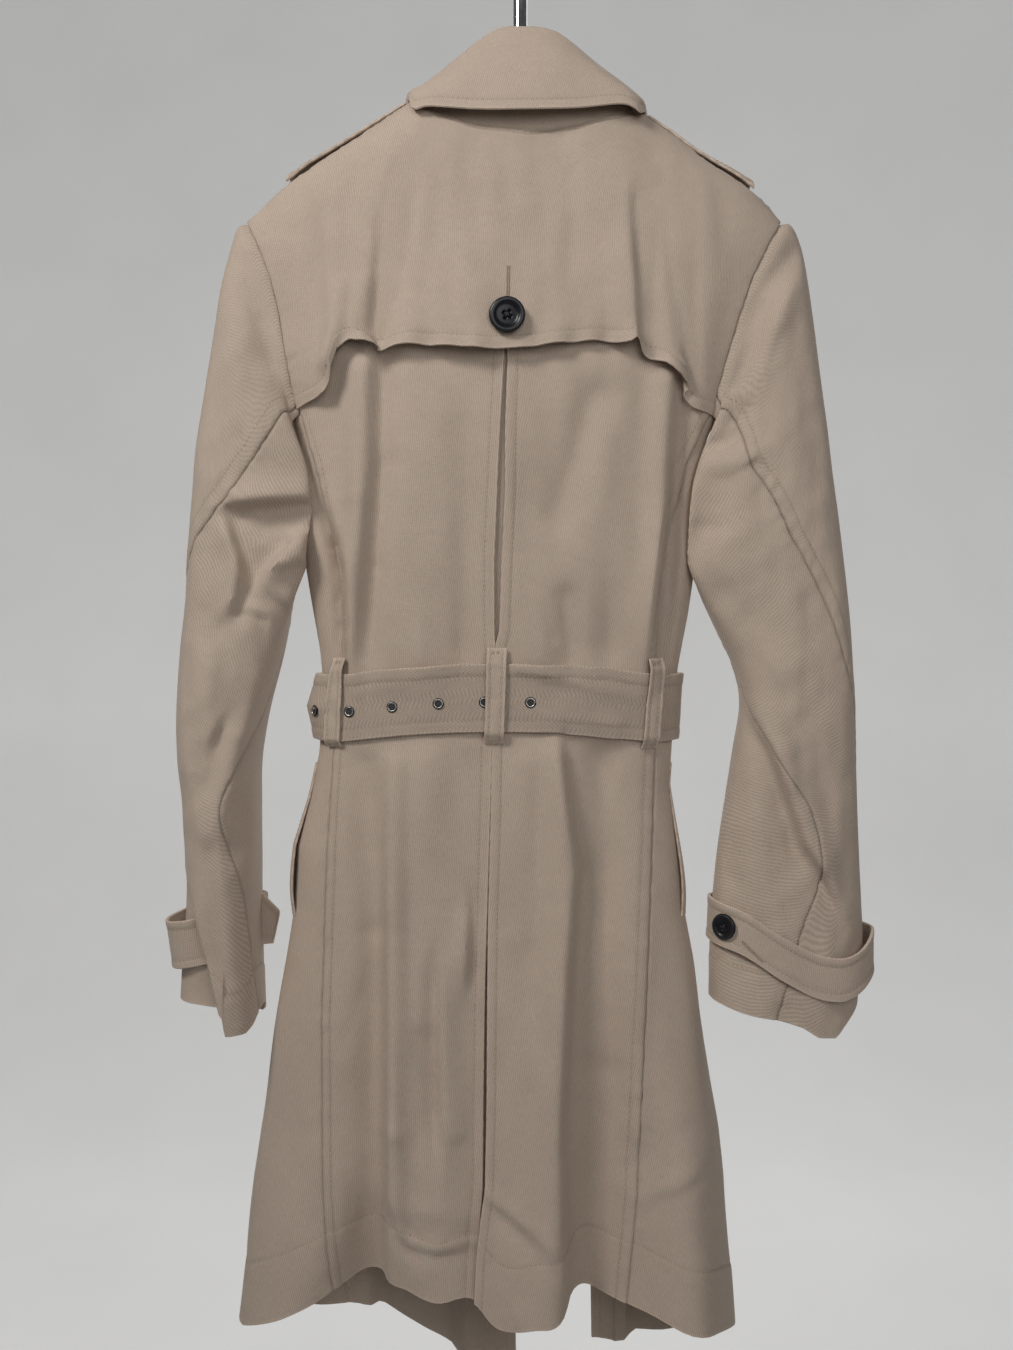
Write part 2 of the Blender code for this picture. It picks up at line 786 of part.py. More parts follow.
def sleeve_normals(hand, rows, start, end, count):
    """Normals taken from the sleeve's own surface, so that both pieces have the same at a seam."""
    normals = []
    for row in rows:
        first = start(row)
        last = end(row)
        parts = np.linspace(first, last, count)
        low = max(row - 0.3, 0.0)
        high = min(row + 0.3, 17.0)
        here = sleeve_loop(hand, row)
        along = resampled(here, np.mod(parts + 0.012, 1.0)) - resampled(here, np.mod(parts - 0.012, 1.0))
        over = resampled(sleeve_loop(hand, high), np.mod(parts, 1.0))
        under = resampled(sleeve_loop(hand, low), np.mod(parts, 1.0))
        normal = np.cross(along, over - under)
        normal = normal / np.linalg.norm(normal, axis=-1, keepdims=True)
        middle = here[:-1].mean(axis=0)
        outward = resampled(here, np.mod(parts, 1.0)) - middle
        turn = np.sign((normal * outward).sum())
        normals.append(normal * turn)
    return np.array(normals)


def seam_at(hand, name, shift):
    def value(row):
        return float(read(SLEEVE[hand], name, row)) + shift

    return value


GAP = 0.0012
for hand in ("left", "right"):
    spans = (
        ("sleeve_upper_", seam_at(hand, "seam_2", GAP), seam_at(hand, "seam_1", 1 - GAP), UPPER_STEPS),
        ("sleeve_under_", seam_at(hand, "seam_1", GAP), seam_at(hand, "seam_2", -GAP), UNDER_STEPS),
    )
    for name, start, end, count in spans:
        points = sleeve_points(hand, SLEEVE_ROWS, start, end, count)
        normals = sleeve_normals(hand, SLEEVE_ROWS, start, end, count)
        wall(name + hand, points, normals, CLOTH)

# Cuff straps: a band round each sleeve, loose on its outer side. The right one sags across
# the side that faces the room.
CUFF_STRAP = table(
    ("hand", "row", "tilt", "loose", "height"),
    [(-1, 15.65, -15, 9, 34), (1, 15.85, 22, 4, 30)],
)
CUFF_SAG = table(
    ("spread", "height"),
    [(-0.5, 27), (-0.36, 22), (-0.07, 2), (0.19, -11), (0.33, -11), (0.42, -5), (0.5, 6)],
)


def band(hand, level, parts, out):
    """Points round a sleeve at a height, moved out from its surface."""
    heights = np.linspace(12, 17, 41)
    loops = np.array([resampled(sleeve_loop(hand, row), parts) for row in heights])
    points = []
    for i in range(len(parts)):
        run = loops[::-1, i]
        points.append([np.interp(level[i], run[:, 2], run[:, k]) for k in range(3)])
    points = np.array(points)
    ahead = np.roll(points, -1, axis=0) - np.roll(points, 1, axis=0)
    normal = np.stack((ahead[:, 1], -ahead[:, 0], np.zeros(len(points))), axis=-1)
    normal = normal / np.linalg.norm(normal, axis=-1, keepdims=True)
    away = points - points.mean(axis=0)
    normal = normal * np.sign((normal * away).sum())
    return points + normal * np.asarray(out)[:, None], normal


CUFF = {}
for hand, sign in (("left", -1), ("right", 1)):
    parts = np.linspace(0, 1, 27)[:-1]
    plain = resampled(sleeve_loop(hand, 15.7), parts)
    spread = (plain[:, 0] - plain[:, 0].mean()) / np.ptp(plain[:, 0])
    tilt = float(line(CUFF_STRAP, "tilt", sign))
    tall = float(line(CUFF_STRAP, "height", sign))
    middle = -772.0 if sign < 0 else -781.0
    lift = -spread * tilt
    if sign > 0:
        near = ease(-45, -75, plain[:, 1])
        lift = (lift + 16) * (1 - near) + read(CUFF_SAG, "height", spread) * near
    loose = float(line(CUFF_STRAP, "loose", sign)) * ease(0.0, 0.5, spread * sign)
    grid = []
    normals = []
    for across_band in (0.5, 0, -0.5):
        row, normal = band(hand, middle + lift + across_band * tall, parts, 0.7 + STRAP_CLOTH + loose)
        grid.append(row)
        normals.append(normal)
    CUFF[hand] = (np.array(grid), np.array(normals))
    wall("cuff_strap_" + hand, np.array(grid), np.array(normals), STRAP_CLOTH, closed=True)

# Collar: the stand rises from the neck seam to the fold, the fall turns down over it. The
# hook holds the middle of the back up in a peak.
COLLAR = table(
    ("row", "neck_x", "neck_y", "neck_z", "fold_x", "fold_y", "fold_z", "edge_x", "edge_y", "edge_z"),
    [
        (0, -61, -30.5, -192.5, -51, -28.5, -188, -82, -26, -206),
        (1, -73, -36, -169, -66, -34, -160, -84, -30, -183),
        (1.5, -77, -44, -160.5, -74, -46, -152.5, -85, -45, -160.5),
        (2, -77.5, -60, -157, -73, -58, -149.5, -82, -62, -156.5),
        (2.5, -75, -73, -160, -70, -66, -149.5, -80, -84, -161),
        (3, -69, -83, -164.5, -63, -72, -147, -77, -93, -171),
        (4, -50, -88.5, -175.5, -44, -77, -131, -64, -101, -173),
        (5, -24, -91.5, -182.6, -18, -79, -112, -30, -107, -177.5),
        (6, 4, -92, -186, 1, -80, -109.5, 4, -110, -179),
        (7, 34, -91.7, -182.6, 25, -79, -113, 40, -107, -176.5),
        (8, 60, -88, -175.6, 52, -77, -134, 73, -101, -171.5),
        (9, 79, -80.5, -168.2, 72, -71, -149, 87, -92, -174),
        (9.5, 84.5, -72, -165.8, 78, -65, -153, 90, -80, -167.5),
        (10, 86.5, -60, -164, 82, -57, -155.5, 92, -62, -164),
        (10.5, 85.5, -46, -167, 82, -46, -159, 95, -45, -167.5),
        (11, 80, -37, -177, 73, -35, -168, 94, -30, -190),
        (12, 69, -31.5, -195.5, 59, -29, -191, 90, -27, -212),
    ],
)


def collar_line(name, rows):
    return np.stack([read(COLLAR, name + axis, rows) for axis in ("_x", "_y", "_z")], axis=-1)


COLLAR_ROWS = np.concatenate((np.arange(0, 4, 0.5), np.linspace(4, 8, 11), np.arange(8.5, 12.5, 0.5)))
neck = collar_line("neck", COLLAR_ROWS)
fold = collar_line("fold", COLLAR_ROWS)
edge = collar_line("edge", COLLAR_ROWS)
rise = (fold - neck) / np.linalg.norm(fold - neck, axis=-1, keepdims=True)
outward = np.cross(np.gradient(fold, axis=0), rise)
outward = outward / np.linalg.norm(outward, axis=-1, keepdims=True)
lowered = 2.0 + 1.2 * ease(3, 4.2, np.abs(COLLAR_ROWS - 6))
stand_foot = neck + rise * 0.9
stand_head = fold - rise * lowered[:, None]
STAND = np.array([stand_foot + (stand_head - stand_foot) * v for v in (0, 0.34, 0.67, 1)])
stand_out = np.broadcast_to(outward, STAND.shape)
wall("collar_stand", STAND, stand_out, CLOTH)

crest = fold + rise * 0.7
shoulder = fold + outward * 5 + rise * 1.5
turned_down = shoulder - rise * 3 + outward
FALL = []
for v in (0, 0.18, 0.38, 0.6, 0.8, 1):
    bend = min(v / 0.38, 1.0)
    near = crest * (1 - bend) ** 2 + 2 * shoulder * bend * (1 - bend)
    near = near + turned_down * bend**2
    fall = max((v - 0.38) / 0.62, 0.0)
    bulge = outward * 4 * math.sin(math.pi * fall)
    FALL.append(near + (edge - turned_down) * fall + bulge)
FALL = np.array(FALL)
fall_normal = np.cross(np.gradient(FALL, axis=1), np.gradient(FALL, axis=0))
fall_normal = fall_normal / np.linalg.norm(fall_normal, axis=-1, keepdims=True)
fall_normal = fall_normal * np.sign((fall_normal * outward).sum())
wall("collar_fall", FALL, fall_normal, COLLAR_CLOTH)

# The neck loop hangs in the hook, with its two ends sewn to the stand.
LOOP_HALF = [
    (15.5, -84.6, -174),
    (13.5, -75, -168),
    (10.5, -62, -161),
    (7.8, -51, -154.2),
    (4.7, -48.2, -148.2),
]
loop_line = np.array(LOOP_HALF + [(0, -48, -145.7)] + [(-x, y, z) for x, y, z in LOOP_HALF[::-1]])
along = np.gradient(loop_line, axis=0)
broad = np.array([0, 1.0, 0])
loop_out = np.cross(along, broad)
loop_out = loop_out / np.linalg.norm(loop_out, axis=-1, keepdims=True)
loop_out = loop_out * np.sign(loop_out[5, 2])
LOOP = np.stack((loop_line - broad * 3.5, loop_line, loop_line + broad * 3.5), axis=1)
wall("neck_loop", LOOP, np.repeat(loop_out[:, None], 3, axis=1), 1.2)


def shoulder_top(x, y):
    """Height of the body's surface under a point of the shoulder."""
    low = np.full(np.shape(x), -300.0)
    high = np.full(np.shape(x), -140.0)
    for _ in range(40):
        middle = (low + high) / 2
        inside = outside(x, y, middle) < 0
        low = np.where(inside, middle, low)
        high = np.where(inside, high, middle)
    return (low + high) / 2


# Epaulettes lie over the shoulder seams, their outer ends standing up.
for hand, inner_x, outer_x in (("left", -98, -170), ("right", 108, 170)):
    x, y = np.meshgrid(np.linspace(inner_x, outer_x, 8), np.linspace(-75, -45, 5), indexing="ij")
    out = np.linspace(0, 1, 8)[:, None]
    rear = np.linspace(1, 0, 5)[None, :]
    z = shoulder_top(x, y) + STRAP_CLOTH + 1.6 + 4.8 * rear + 3.6 * out**2
    grid = np.stack((x, y, z), axis=-1)
    wall("epaulette_" + hand, grid, surface_normal(grid, (0, 0, 1)), STRAP_CLOTH)

# Lapels: the tops of the fronts turned back on themselves, on the side of the wall.
LAPEL = table(
    ("height", "width"),
    [(-520, 3), (-460, 24), (-380, 48), (-300, 66), (-262, 72), (-240, 52)],
)
for hand, sign in (("left", -1), ("right", 1)):
    rows = []
    for z in np.linspace(-516, -240, 9):
        start = float(line(FRONT_EDGE, hand, z)) + sign * 0.4
        wide = float(line(LAPEL, "width", z))
        rows.append([(start + sign * wide * part, z) for part in (0, 0.5, 1)])
    flat = np.array(rows)
    x, z = flat[..., 0], flat[..., 1]
    points = np.stack((x, body_depth(x, z, -1) + 0.25, z), axis=-1)
    normals = body_normal(points)
    wall("lapel_" + hand, points + normals * (0.7 + CLOTH), normals, CLOTH)


# Pocket welts stand at the sides, over the edge of each front.
WELT_TOP, WELT_FOOT = -640.0, -752.0
for hand, open_by in (("left", 4.5), ("right", 1.5)):
    rows = []
    for z in np.linspace(WELT_FOOT, WELT_TOP, 7):
        rows.append([side_point(hand, z, part) for part in (0.36, 0.5, 0.64, 0.78)])
    points = np.array(rows)
    normals = body_normal(points)
    rise = np.sin(np.linspace(0.15, math.pi - 0.15, 7))[:, None]
    stand_off = 1.1 + CLOTH + open_by * rise * np.array([1, 0.7, 0.3, 0])[None, :]
    wall("pocket_welt_" + hand, points + normals * stand_off[..., None], normals, CLOTH)

# Belt: it runs round the body through three loops, its ends on the fronts.
BELT_WIDTH = 48.0
BELT_OUT = 1.0
BELT_TAIL = 30.0
LOOP_OUT = BELT_OUT + STRAP_CLOTH + 1.7


def round_body(z_of, parts, lift):
    """Points round the body from the left front edge past the back to the right front edge."""
    left_edge = float(line(FRONT_EDGE, "left", WAIST)) - BELT_TAIL
    right_edge = float(line(FRONT_EDGE, "right", WAIST)) + BELT_TAIL
    left = float(line(LEFT_OUTLINE, "x", WAIST))
    right = float(line(RIGHT_OUTLINE, "x", WAIST))
    middle, half = (left + right) / 2, (right - left) / 2
    start = math.asin((left_edge - middle) / half)
    stop = math.asin((right_edge - middle) / half)
    front_left = middle + half * np.sin(np.linspace(start, -math.pi / 2, 60))
    back = middle + half * np.sin(np.linspace(-math.pi / 2, math.pi / 2, 160))
    front_right = middle + half * np.sin(np.linspace(math.pi / 2, stop, 60))
    x = np.concatenate((front_left, back[1:], front_right[1:]))
    face = np.concatenate((-np.ones(60), np.ones(159), -np.ones(59)))
    level = np.full_like(x, WAIST)
    y = np.where(face > 0, body_depth(x, level, 1), body_depth(x, level, -1))
    path = np.stack((x, y, level), axis=-1)
    flat = resampled(path, parts)
    length = np.concatenate(((0,), np.cumsum(np.linalg.norm(np.diff(path, axis=0), axis=1))))
    rear = np.interp(np.asarray(parts) * length[-1], length, face) > 0
    x = flat[:, 0]
    z = z_of(x, flat[:, 1])
    scaled = across(x, np.full_like(x, WAIST))
    left = line(LEFT_OUTLINE, "x", z)
    right = line(RIGHT_OUTLINE, "x", z)
    x = (left + right) / 2 + scaled * (right - left) / 2
    y = np.where(rear, body_depth(x, z, 1), body_depth(x, z, -1))
    points = np.stack((x, y, z), axis=-1)
    normals = body_normal(points)
    lift = lift + 1.1 * np.abs(scaled) ** 8
    return points + normals * lift[:, None], normals


def belt_height(offset):
    def height(x, y):
        sag = 7 * (np.clip(x + 15, -140, 140) / 140) ** 2
        return -591.5 - sag + offset

    return height


BELT_PARTS = np.linspace(0.0, 1.0, 57)
grid = []
normals = []
for offset in (BELT_WIDTH / 2, 0, -BELT_WIDTH / 2):
    row, normal = round_body(belt_height(offset), BELT_PARTS, BELT_OUT + STRAP_CLOTH)
    grid.append(row)
    normals.append(normal)
wall("belt", np.array(grid), np.array(normals), STRAP_CLOTH)


def on_back(x, z, lift):
    """A point moved out from the back, with the direction out."""
    point = np.array([[x, float(body_depth(np.array([x]), np.array([z]), 1)[0]), z]])
    normal = body_normal(point)
    return (point + normal * lift)[0], normal[0]


LOOP_ROWS = (
    # name, x at the top, x at the foot, top, foot, half width
    ("belt_loop_left", -131.5, -133, -563, -627, 6.5),
    ("belt_loop_centre", -16.5, -19, -556, -624, 6.5),
    ("belt_loop_right", 97, 92.5, -563, -628, 6.5),
)
for name, top_x, foot_x, top, foot, half in LOOP_ROWS:
    rows = []
    normals = []
    centre = float(belt_height(0)(foot_x, 0))
    low, high = centre - BELT_WIDTH / 2 - 2, centre + BELT_WIDTH / 2 + 2
    for z, out in ((foot, 0.8), (low, LOOP_OUT), (centre, LOOP_OUT), (high, LOOP_OUT), (top, 1.5)):
        middle = foot_x + (z - foot) / (top - foot) * (top_x - foot_x)
        lift = out + CLOTH
        pairs = [on_back(middle + side * half, z, lift) for side in (-1, 1)]
        rows.append([pair[0] for pair in pairs])
        normals.append([pair[1] for pair in pairs])
    wall(name, np.array(rows), np.array(normals), CLOTH)

# Eyelets in the belt, a round ring at each hole.
EYELET_X = (-153.0, -122.6, -92, -59.5, -26.5, 6.5)
for number, x in enumerate(EYELET_X, 1):
    if number == 1:
        centre = np.array([[-145.5, -67.0, -600.0]])
        loop, loop_normal = round_body(belt_height(0), np.linspace(0, 1, 401), BELT_OUT + STRAP_CLOTH)
        nearest = int(np.argmin(np.linalg.norm(loop - centre, axis=1)))
        place, out = loop[nearest], loop_normal[nearest]
    else:
        z = float(belt_height(-3)(x, 0))
        place, out = on_back(x, z, BELT_OUT + STRAP_CLOTH)
    profile = [(2.3, 0.45), (4.0, 0.45), (4.0, 0.9), (2.5, 1.45)]
    turned("eyelet_%d" % number, profile, place, out, 12, "dark_metal", ring=True)

# Buttons: a thick disc with a raised rim.
BUTTON = [(0.86, 0.0), (1.0, 0.12), (1.0, 0.2), (0.86, 0.28), (0.7, 0.2)]


def button(name, place, out, radius, lift):
    profile = [(r * radius, lift + h * radius) for r, h in BUTTON]
    turned(name, profile, place, out, 16, "navy_button")


beside = np.hypot(FLAP[..., 0] + 9.6, FLAP[..., 2] + 322.5) < 24
button("back_button", (-9.6, FLAP[..., 1][beside].min(), -322.5), (0, -1, 0), 12.8, 0.1)

for hand, index, radius in (("right", 11, 9.5), ("left", 16, 9.5)):
    grid, normals = CUFF[hand]
    button("cuff_button_" + hand, grid[1, index], normals[1, index], radius, 0.5)

for number, z in enumerate((-545, -660, -745, -830), 1):
    x = -34.0
    y = float(body_depth(np.array([x]), np.array([z]), -1)[0]) + 0.25
    point = np.array([[x, y, z]])
    out = body_normal(point)[0]
    button("front_button_%d" % number, point[0], out, 10.5, 0.6)

# Buckle: a square frame round the belt's right end, its prong across it.
belt_end, belt_normal = round_body(belt_height(0), np.array([0.985]), BELT_OUT + STRAP_CLOTH)
end_x, end_y, end_z = belt_end[0]
outer = [(-20, -32), (20, -32), (20, 32), (-20, 32)]
inner = [(-15, -26.5), (15, -26.5), (15, 26.5), (-15, 26.5)]
points = []
for y in (end_y + 0.6, end_y + 4.6):
    for ring in (outer, inner):
        points.extend((end_x + a, y, end_z + b) for a, b in ring)
faces = []
for i in range(4):
    n = (i + 1) % 4
    faces.append((i, n, 4 + n, 4 + i))
    faces.append((8 + i, 12 + i, 12 + n, 8 + n))
    faces.append((i, 8 + i, 8 + n, n))
    faces.append((4 + i, 4 + n, 12 + n, 12 + i))
solid("buckle_frame", points, faces, "dark_metal")
prong = []
for x in (end_x - 19, end_x + 19):
    prong.extend(((x, end_y + 5.0, end_z - 2), (x, end_y + 5.0, end_z + 2)))
    prong.extend(((x, end_y + 7.4, end_z + 2), (x, end_y + 7.4, end_z - 2)))
faces = [(0, 1, 2, 3), (7, 6, 5, 4)]
faces.extend((i, 4 + i, 4 + (i + 1) % 4, (i + 1) % 4) for i in range(4))
solid("buckle_prong", prong, faces, "dark_metal")

# The wall hook: a plate and a round rod that bends down and up again under the neck loop.
PLATE = [(-17, -22), (17, -22), (17, 22), (-17, 22)]
points = [(x, y, z) for y in (0, -5) for x, z in PLATE]
faces = [(0, 1, 2, 3), (7, 6, 5, 4)]
faces.extend((i, 4 + i, 4 + (i + 1) % 4, (i + 1) % 4) for i in range(4))
solid("hook_plate", points, faces, "chrome")

ROD = 5.2
rod_line = [(-5.3, 0), (-26, 0)]
for i in range(1, 7):
    a = math.radians(15 * i)
    rod_line.append((-46 - 16 * math.sin(a), -16 + 16 * math.cos(a)))
rod_line.extend(((-62, -60), (-62, -105), (-62, -140)))
for i in range(1, 9):
    a = math.radians(22.5 * i)
    rod_line.append((-48 - 14 * math.cos(a), -140 - 14 * math.sin(a)))
rod_line.append((-34, -131))
rod_line = np.array(rod_line, float)
tangent = np.gradient(rod_line, axis=0)
tangent = tangent / np.linalg.norm(tangent, axis=-1, keepdims=True)
points = []
for (y, z), (ty, tz) in zip(rod_line, tangent):
    for i in range(12):
        a = 2 * math.pi * i / 12
        points.append((ROD * math.cos(a), y - tz * ROD * math.sin(a), z + ty * ROD * math.sin(a)))
faces = []
count = len(rod_line)
for k in range(count - 1):
    for i in range(12):
        a, b = k * 12 + i, k * 12 + (i + 1) % 12
        faces.append((a, b, b + 12, a + 12))
faces.append(tuple(range(12))[::-1])
faces.append(tuple(range((count - 1) * 12, count * 12)))
solid("hook_rod", points, faces, "chrome")
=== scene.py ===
import math

import bpy
import numpy as np
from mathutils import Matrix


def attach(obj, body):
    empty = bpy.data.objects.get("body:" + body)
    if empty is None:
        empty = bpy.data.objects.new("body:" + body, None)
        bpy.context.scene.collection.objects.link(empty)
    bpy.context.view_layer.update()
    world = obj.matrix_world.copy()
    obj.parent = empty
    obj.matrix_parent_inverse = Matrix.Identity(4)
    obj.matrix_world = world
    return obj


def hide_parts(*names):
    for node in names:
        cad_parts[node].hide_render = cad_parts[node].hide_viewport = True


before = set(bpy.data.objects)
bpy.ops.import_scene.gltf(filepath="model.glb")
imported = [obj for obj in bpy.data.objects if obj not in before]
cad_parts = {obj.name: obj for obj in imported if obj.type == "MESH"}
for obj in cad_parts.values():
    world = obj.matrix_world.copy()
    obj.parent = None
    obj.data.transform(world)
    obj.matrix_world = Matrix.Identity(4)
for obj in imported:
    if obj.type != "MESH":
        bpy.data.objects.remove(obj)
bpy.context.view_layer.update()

# The wall hook: a plate and a bent round rod of chromed steel, welded together. The coat
# hangs from it, so it comes first. Lengths in this file are millimetres until a mesh is made.
METRE = 0.001
ROD = 5.2
PLATE_WIDE, PLATE_TALL, PLATE_THICK = 34, 44, 5


def mesh_piece(name, points, faces, material, smooth=0.7, flat_map=None, tone=None):
    """An object from points and faces, with its outside outwards and its soft edges smooth."""
    mesh = bpy.data.meshes.new(name)
    mesh.from_pydata((np.asarray(points, float) * METRE).tolist(), [], faces)
    mesh.update()
    corners = np.empty(len(mesh.loops), int)
    mesh.loops.foreach_get("vertex_index", corners)
    if flat_map is not None:
        places = mesh.uv_layers.new(name="cloth").uv
        places.foreach_set("vector", (np.asarray(flat_map)[corners] * METRE).ravel())
    if tone is not None:
        shade = mesh.attributes.new("tone", "FLOAT", "POINT")
        shade.data.foreach_set("value", np.asarray(tone, float).ravel())
    mesh.shade_smooth()
    mesh.set_sharp_from_angle(angle=smooth)
    mesh.materials.append(material)
    return placed(name, mesh)


def placed(name, data):
    """An object of the scene that shows a mesh, a lamp or a camera."""
    item = bpy.data.objects.new(name, data)
    bpy.context.scene.collection.objects.link(item)
    return item


def unit(vectors):
    """The same directions with a length of 1."""
    return vectors / np.linalg.norm(vectors, axis=-1, keepdims=True)


def ring_faces(rings, sides, first=0):
    """Faces that join rings of points and close both ends, from the number of the first point."""
    faces = []
    for k in range(rings - 1):
        for i in range(sides):
            a, b = first + k * sides + i, first + k * sides + (i + 1) % sides
            faces.append((a, b, b + sides, a + sides))
    last = first + (rings - 1) * sides
    faces.append(tuple(range(first, first + sides))[::-1])
    faces.append(tuple(range(last, last + sides)))
    return faces


def tube(path, radius, sides, round_end=3):
    """Points and faces of a round bar along a line in the plane x = 0, with domed ends."""
    path = np.asarray(path, float)
    tangent = unit(np.gradient(path, axis=0))
    rings = [(middle, way, radius) for middle, way in zip(path, tangent)]
    for end, sign in ((0, -1), (len(path) - 1, 1)):
        domes = []
        for step in range(1, round_end + 1):
            turn = math.pi / 2 * step / (round_end + 0.3)
            middle = path[end] + sign * tangent[end] * radius * 0.6 * math.sin(turn)
            domes.append((middle, tangent[end], radius * math.cos(turn)))
        rings = domes[::-1] + rings if end == 0 else rings + domes
    points = []
    for (y, z), (ty, tz), wide in rings:
        for i in range(sides):
            a = 2 * math.pi * i / sides
            points.append((wide * math.cos(a), y - tz * wide * math.sin(a), z + ty * wide * math.sin(a)))
    return points, ring_faces(len(rings), sides)


def nodes_of(name):
    """A new material with its tree and its main shader."""
    material = bpy.data.materials.new(name)
    material.use_nodes = True
    tree = material.node_tree
    return material, tree, tree.nodes["Principled BSDF"]


def settle(tree, node, values):
    """Give a node its inputs, each a number, a colour or the output of another node."""
    for key, value in values.items():
        if isinstance(value, bpy.types.NodeSocket):
            tree.links.new(value, node.inputs[key])
        else:
            node.inputs[key].default_value = value


def add(tree, kind, settings=(), **inputs):
    """A node with its settings, its inputs given by name or, with an underscore, by number."""
    node = tree.nodes.new(kind)
    for key, value in dict(settings).items():
        setattr(node, key, value)
    settle(tree, node, {int(key[1:]) if key.startswith("_") else key: value for key, value in inputs.items()})
    return node


def sum_of(tree, operation, first, second, third=0.5):
    """The result of one step of arithmetic on sockets or numbers."""
    return add(tree, "ShaderNodeMath", {"operation": operation}, _0=first, _1=second, _2=third).outputs[0]


def spot_on(tree):
    """Where a point of the surface lies in its object."""
    return add(tree, "ShaderNodeTexCoord").outputs["Object"]


def noise(tree, place, scale, detail, **more):
    """Uneven values between 0 and 1."""
    return add(tree, "ShaderNodeTexNoise", Vector=place, Scale=scale, Detail=detail, **more).outputs["Fac"]


def drawn_out(tree, place, scale, **more):
    """Uneven values that are drawn out along one direction."""
    return noise(tree, add(tree, "ShaderNodeMapping", _0=place, Scale=scale).outputs[0], 1.0, 3.0, **more)


def mixed(tree, part, first, second):
    """A colour some part of the way from the first to the second."""
    return add(tree, "ShaderNodeMix", {"data_type": "RGBA"}, _0=part, _6=first, _7=second).outputs[2]


def raised(tree, strength, distance, height, **more):
    """The directions of a surface that is raised by a height."""
    return add(tree, "ShaderNodeBump", Strength=strength, Distance=distance, Height=height, **more).outputs[0]


def chrome():
    """Bright plating with fine rubbing marks along it and dull spots."""
    material, tree, shader = nodes_of("chrome")
    place = spot_on(tree)
    marks = drawn_out(tree, place, (900, 900, 60))
    spots = noise(tree, place, 160.0, 4.0)
    dull = add(tree, "ShaderNodeValToRGB", Fac=spots)
    dull.color_ramp.elements[0].position = 0.35
    dull.color_ramp.elements[0].color = (0.46, 0.46, 0.47, 1)
    dull.color_ramp.elements[1].position = 0.6
    dull.color_ramp.elements[1].color = (0.62, 0.62, 0.63, 1)
    settle(tree, shader, {
        "Base Color": dull.outputs[0],
        "Metallic": 1.0,
        "Roughness": sum_of(tree, "MULTIPLY_ADD", spots, 0.14, 0.10),
        "Normal": raised(tree, 0.05, 0.0001, marks),
    })
    return material


CHROME = chrome()
UPPER_BEND, LOWER_BEND = 16, 14
rod_line = [(-5.3, 0), (-15, 0), (-26, 0), (-36, 0)]
for i in range(1, 13):
    a = math.radians(7.5 * i)
    rod_line.append((-46 - UPPER_BEND * math.sin(a), -16 + UPPER_BEND * math.cos(a)))
rod_line.extend((-62, z) for z in (-30, -60, -85, -105, -125, -140))
for i in range(1, 17):
    a = math.radians(11.25 * i)
    rod_line.append((-48 - LOWER_BEND * math.cos(a), -140 - LOWER_BEND * math.sin(a)))
rod_line.append((-34, -131))
points, faces = tube(rod_line, ROD, 40)
rod = mesh_piece("hook_rod_smooth", points, faces, CHROME)
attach(rod, "root")
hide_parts("hook_rod")

PLATE_CORNER = 6


def rounded_outline(wide, tall, corner, steps):
    """Places round a rectangle whose corners are round."""
    places = []
    for x, z, start in ((1, 1, 0), (-1, 1, 90), (-1, -1, 180), (1, -1, 270)):
        for i in range(steps + 1):
            a = math.radians(start + 90 * i / steps)
            middle_x, middle_z = x * (wide / 2 - corner), z * (tall / 2 - corner)
            places.append((middle_x + corner * math.cos(a), middle_z + corner * math.sin(a)))
    return places


outline = rounded_outline(PLATE_WIDE, PLATE_TALL, PLATE_CORNER, 8)
levels = ((0.0, 1.0), (-PLATE_THICK + 1.2, 1.0), (-PLATE_THICK + 0.5, 0.985), (-PLATE_THICK, 0.95))
points = [(x * grow, y, z * grow) for y, grow in levels for x, z in outline]
plate = mesh_piece("hook_plate_rounded", points, ring_faces(len(levels), len(outline)), CHROME)
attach(plate, "root")
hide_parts("hook_plate")

# The back: two halves of beige cotton twill joined down the middle, each from the hem to the
# neck and shoulder seams, cut in to the princess seam at its side. The centre seam is left
# open as a pleat above the belt and as a vent below it, and is stitched along both edges.
CLOTH = 1.5
COVER = 0.25
SEAM = 0.3
ROUND = 2.6
ARMPIT = -384.0
SHOULDER = -243.0
WAIST = -596.0


def table(columns, rows):
    """Named columns of numbers, in the order of the first one."""
    data = np.array(rows, float)
    return {"columns": columns, "rows": data[np.argsort(data[:, 0])]}


def read(source, name, at):
    """One column of a table at the given places, on a smooth curve through its rows."""
    knots = source["rows"][:, 0]
    values = source["rows"][:, source["columns"].index(name)]
    slopes = np.gradient(values, knots)
    at = np.clip(np.asarray(at, float), knots[0], knots[-1])
    k = np.clip(np.searchsorted(knots, at, side="right") - 1, 0, len(knots) - 2)
    step = knots[k + 1] - knots[k]
    t = (at - knots[k]) / step
    start = values[k] * (1 + 2 * t) * (1 - t) ** 2 + slopes[k] * step * t * (1 - t) ** 2
    end = values[k + 1] * t * t * (3 - 2 * t) - slopes[k + 1] * step * t * t * (1 - t)
    return start + end


def line(source, name, at):
    """One column of a table at the given places, on straight lines between its rows."""
    return np.interp(at, source["rows"][:, 0], source["rows"][:, source["columns"].index(name)])


def ease(low, high, at):
    """A smooth step from 0 at the low value to 1 at the high one."""
    t = np.clip((np.asarray(at, float) - low) / (high - low), 0, 1)
    return t * t * (3 - 2 * t)


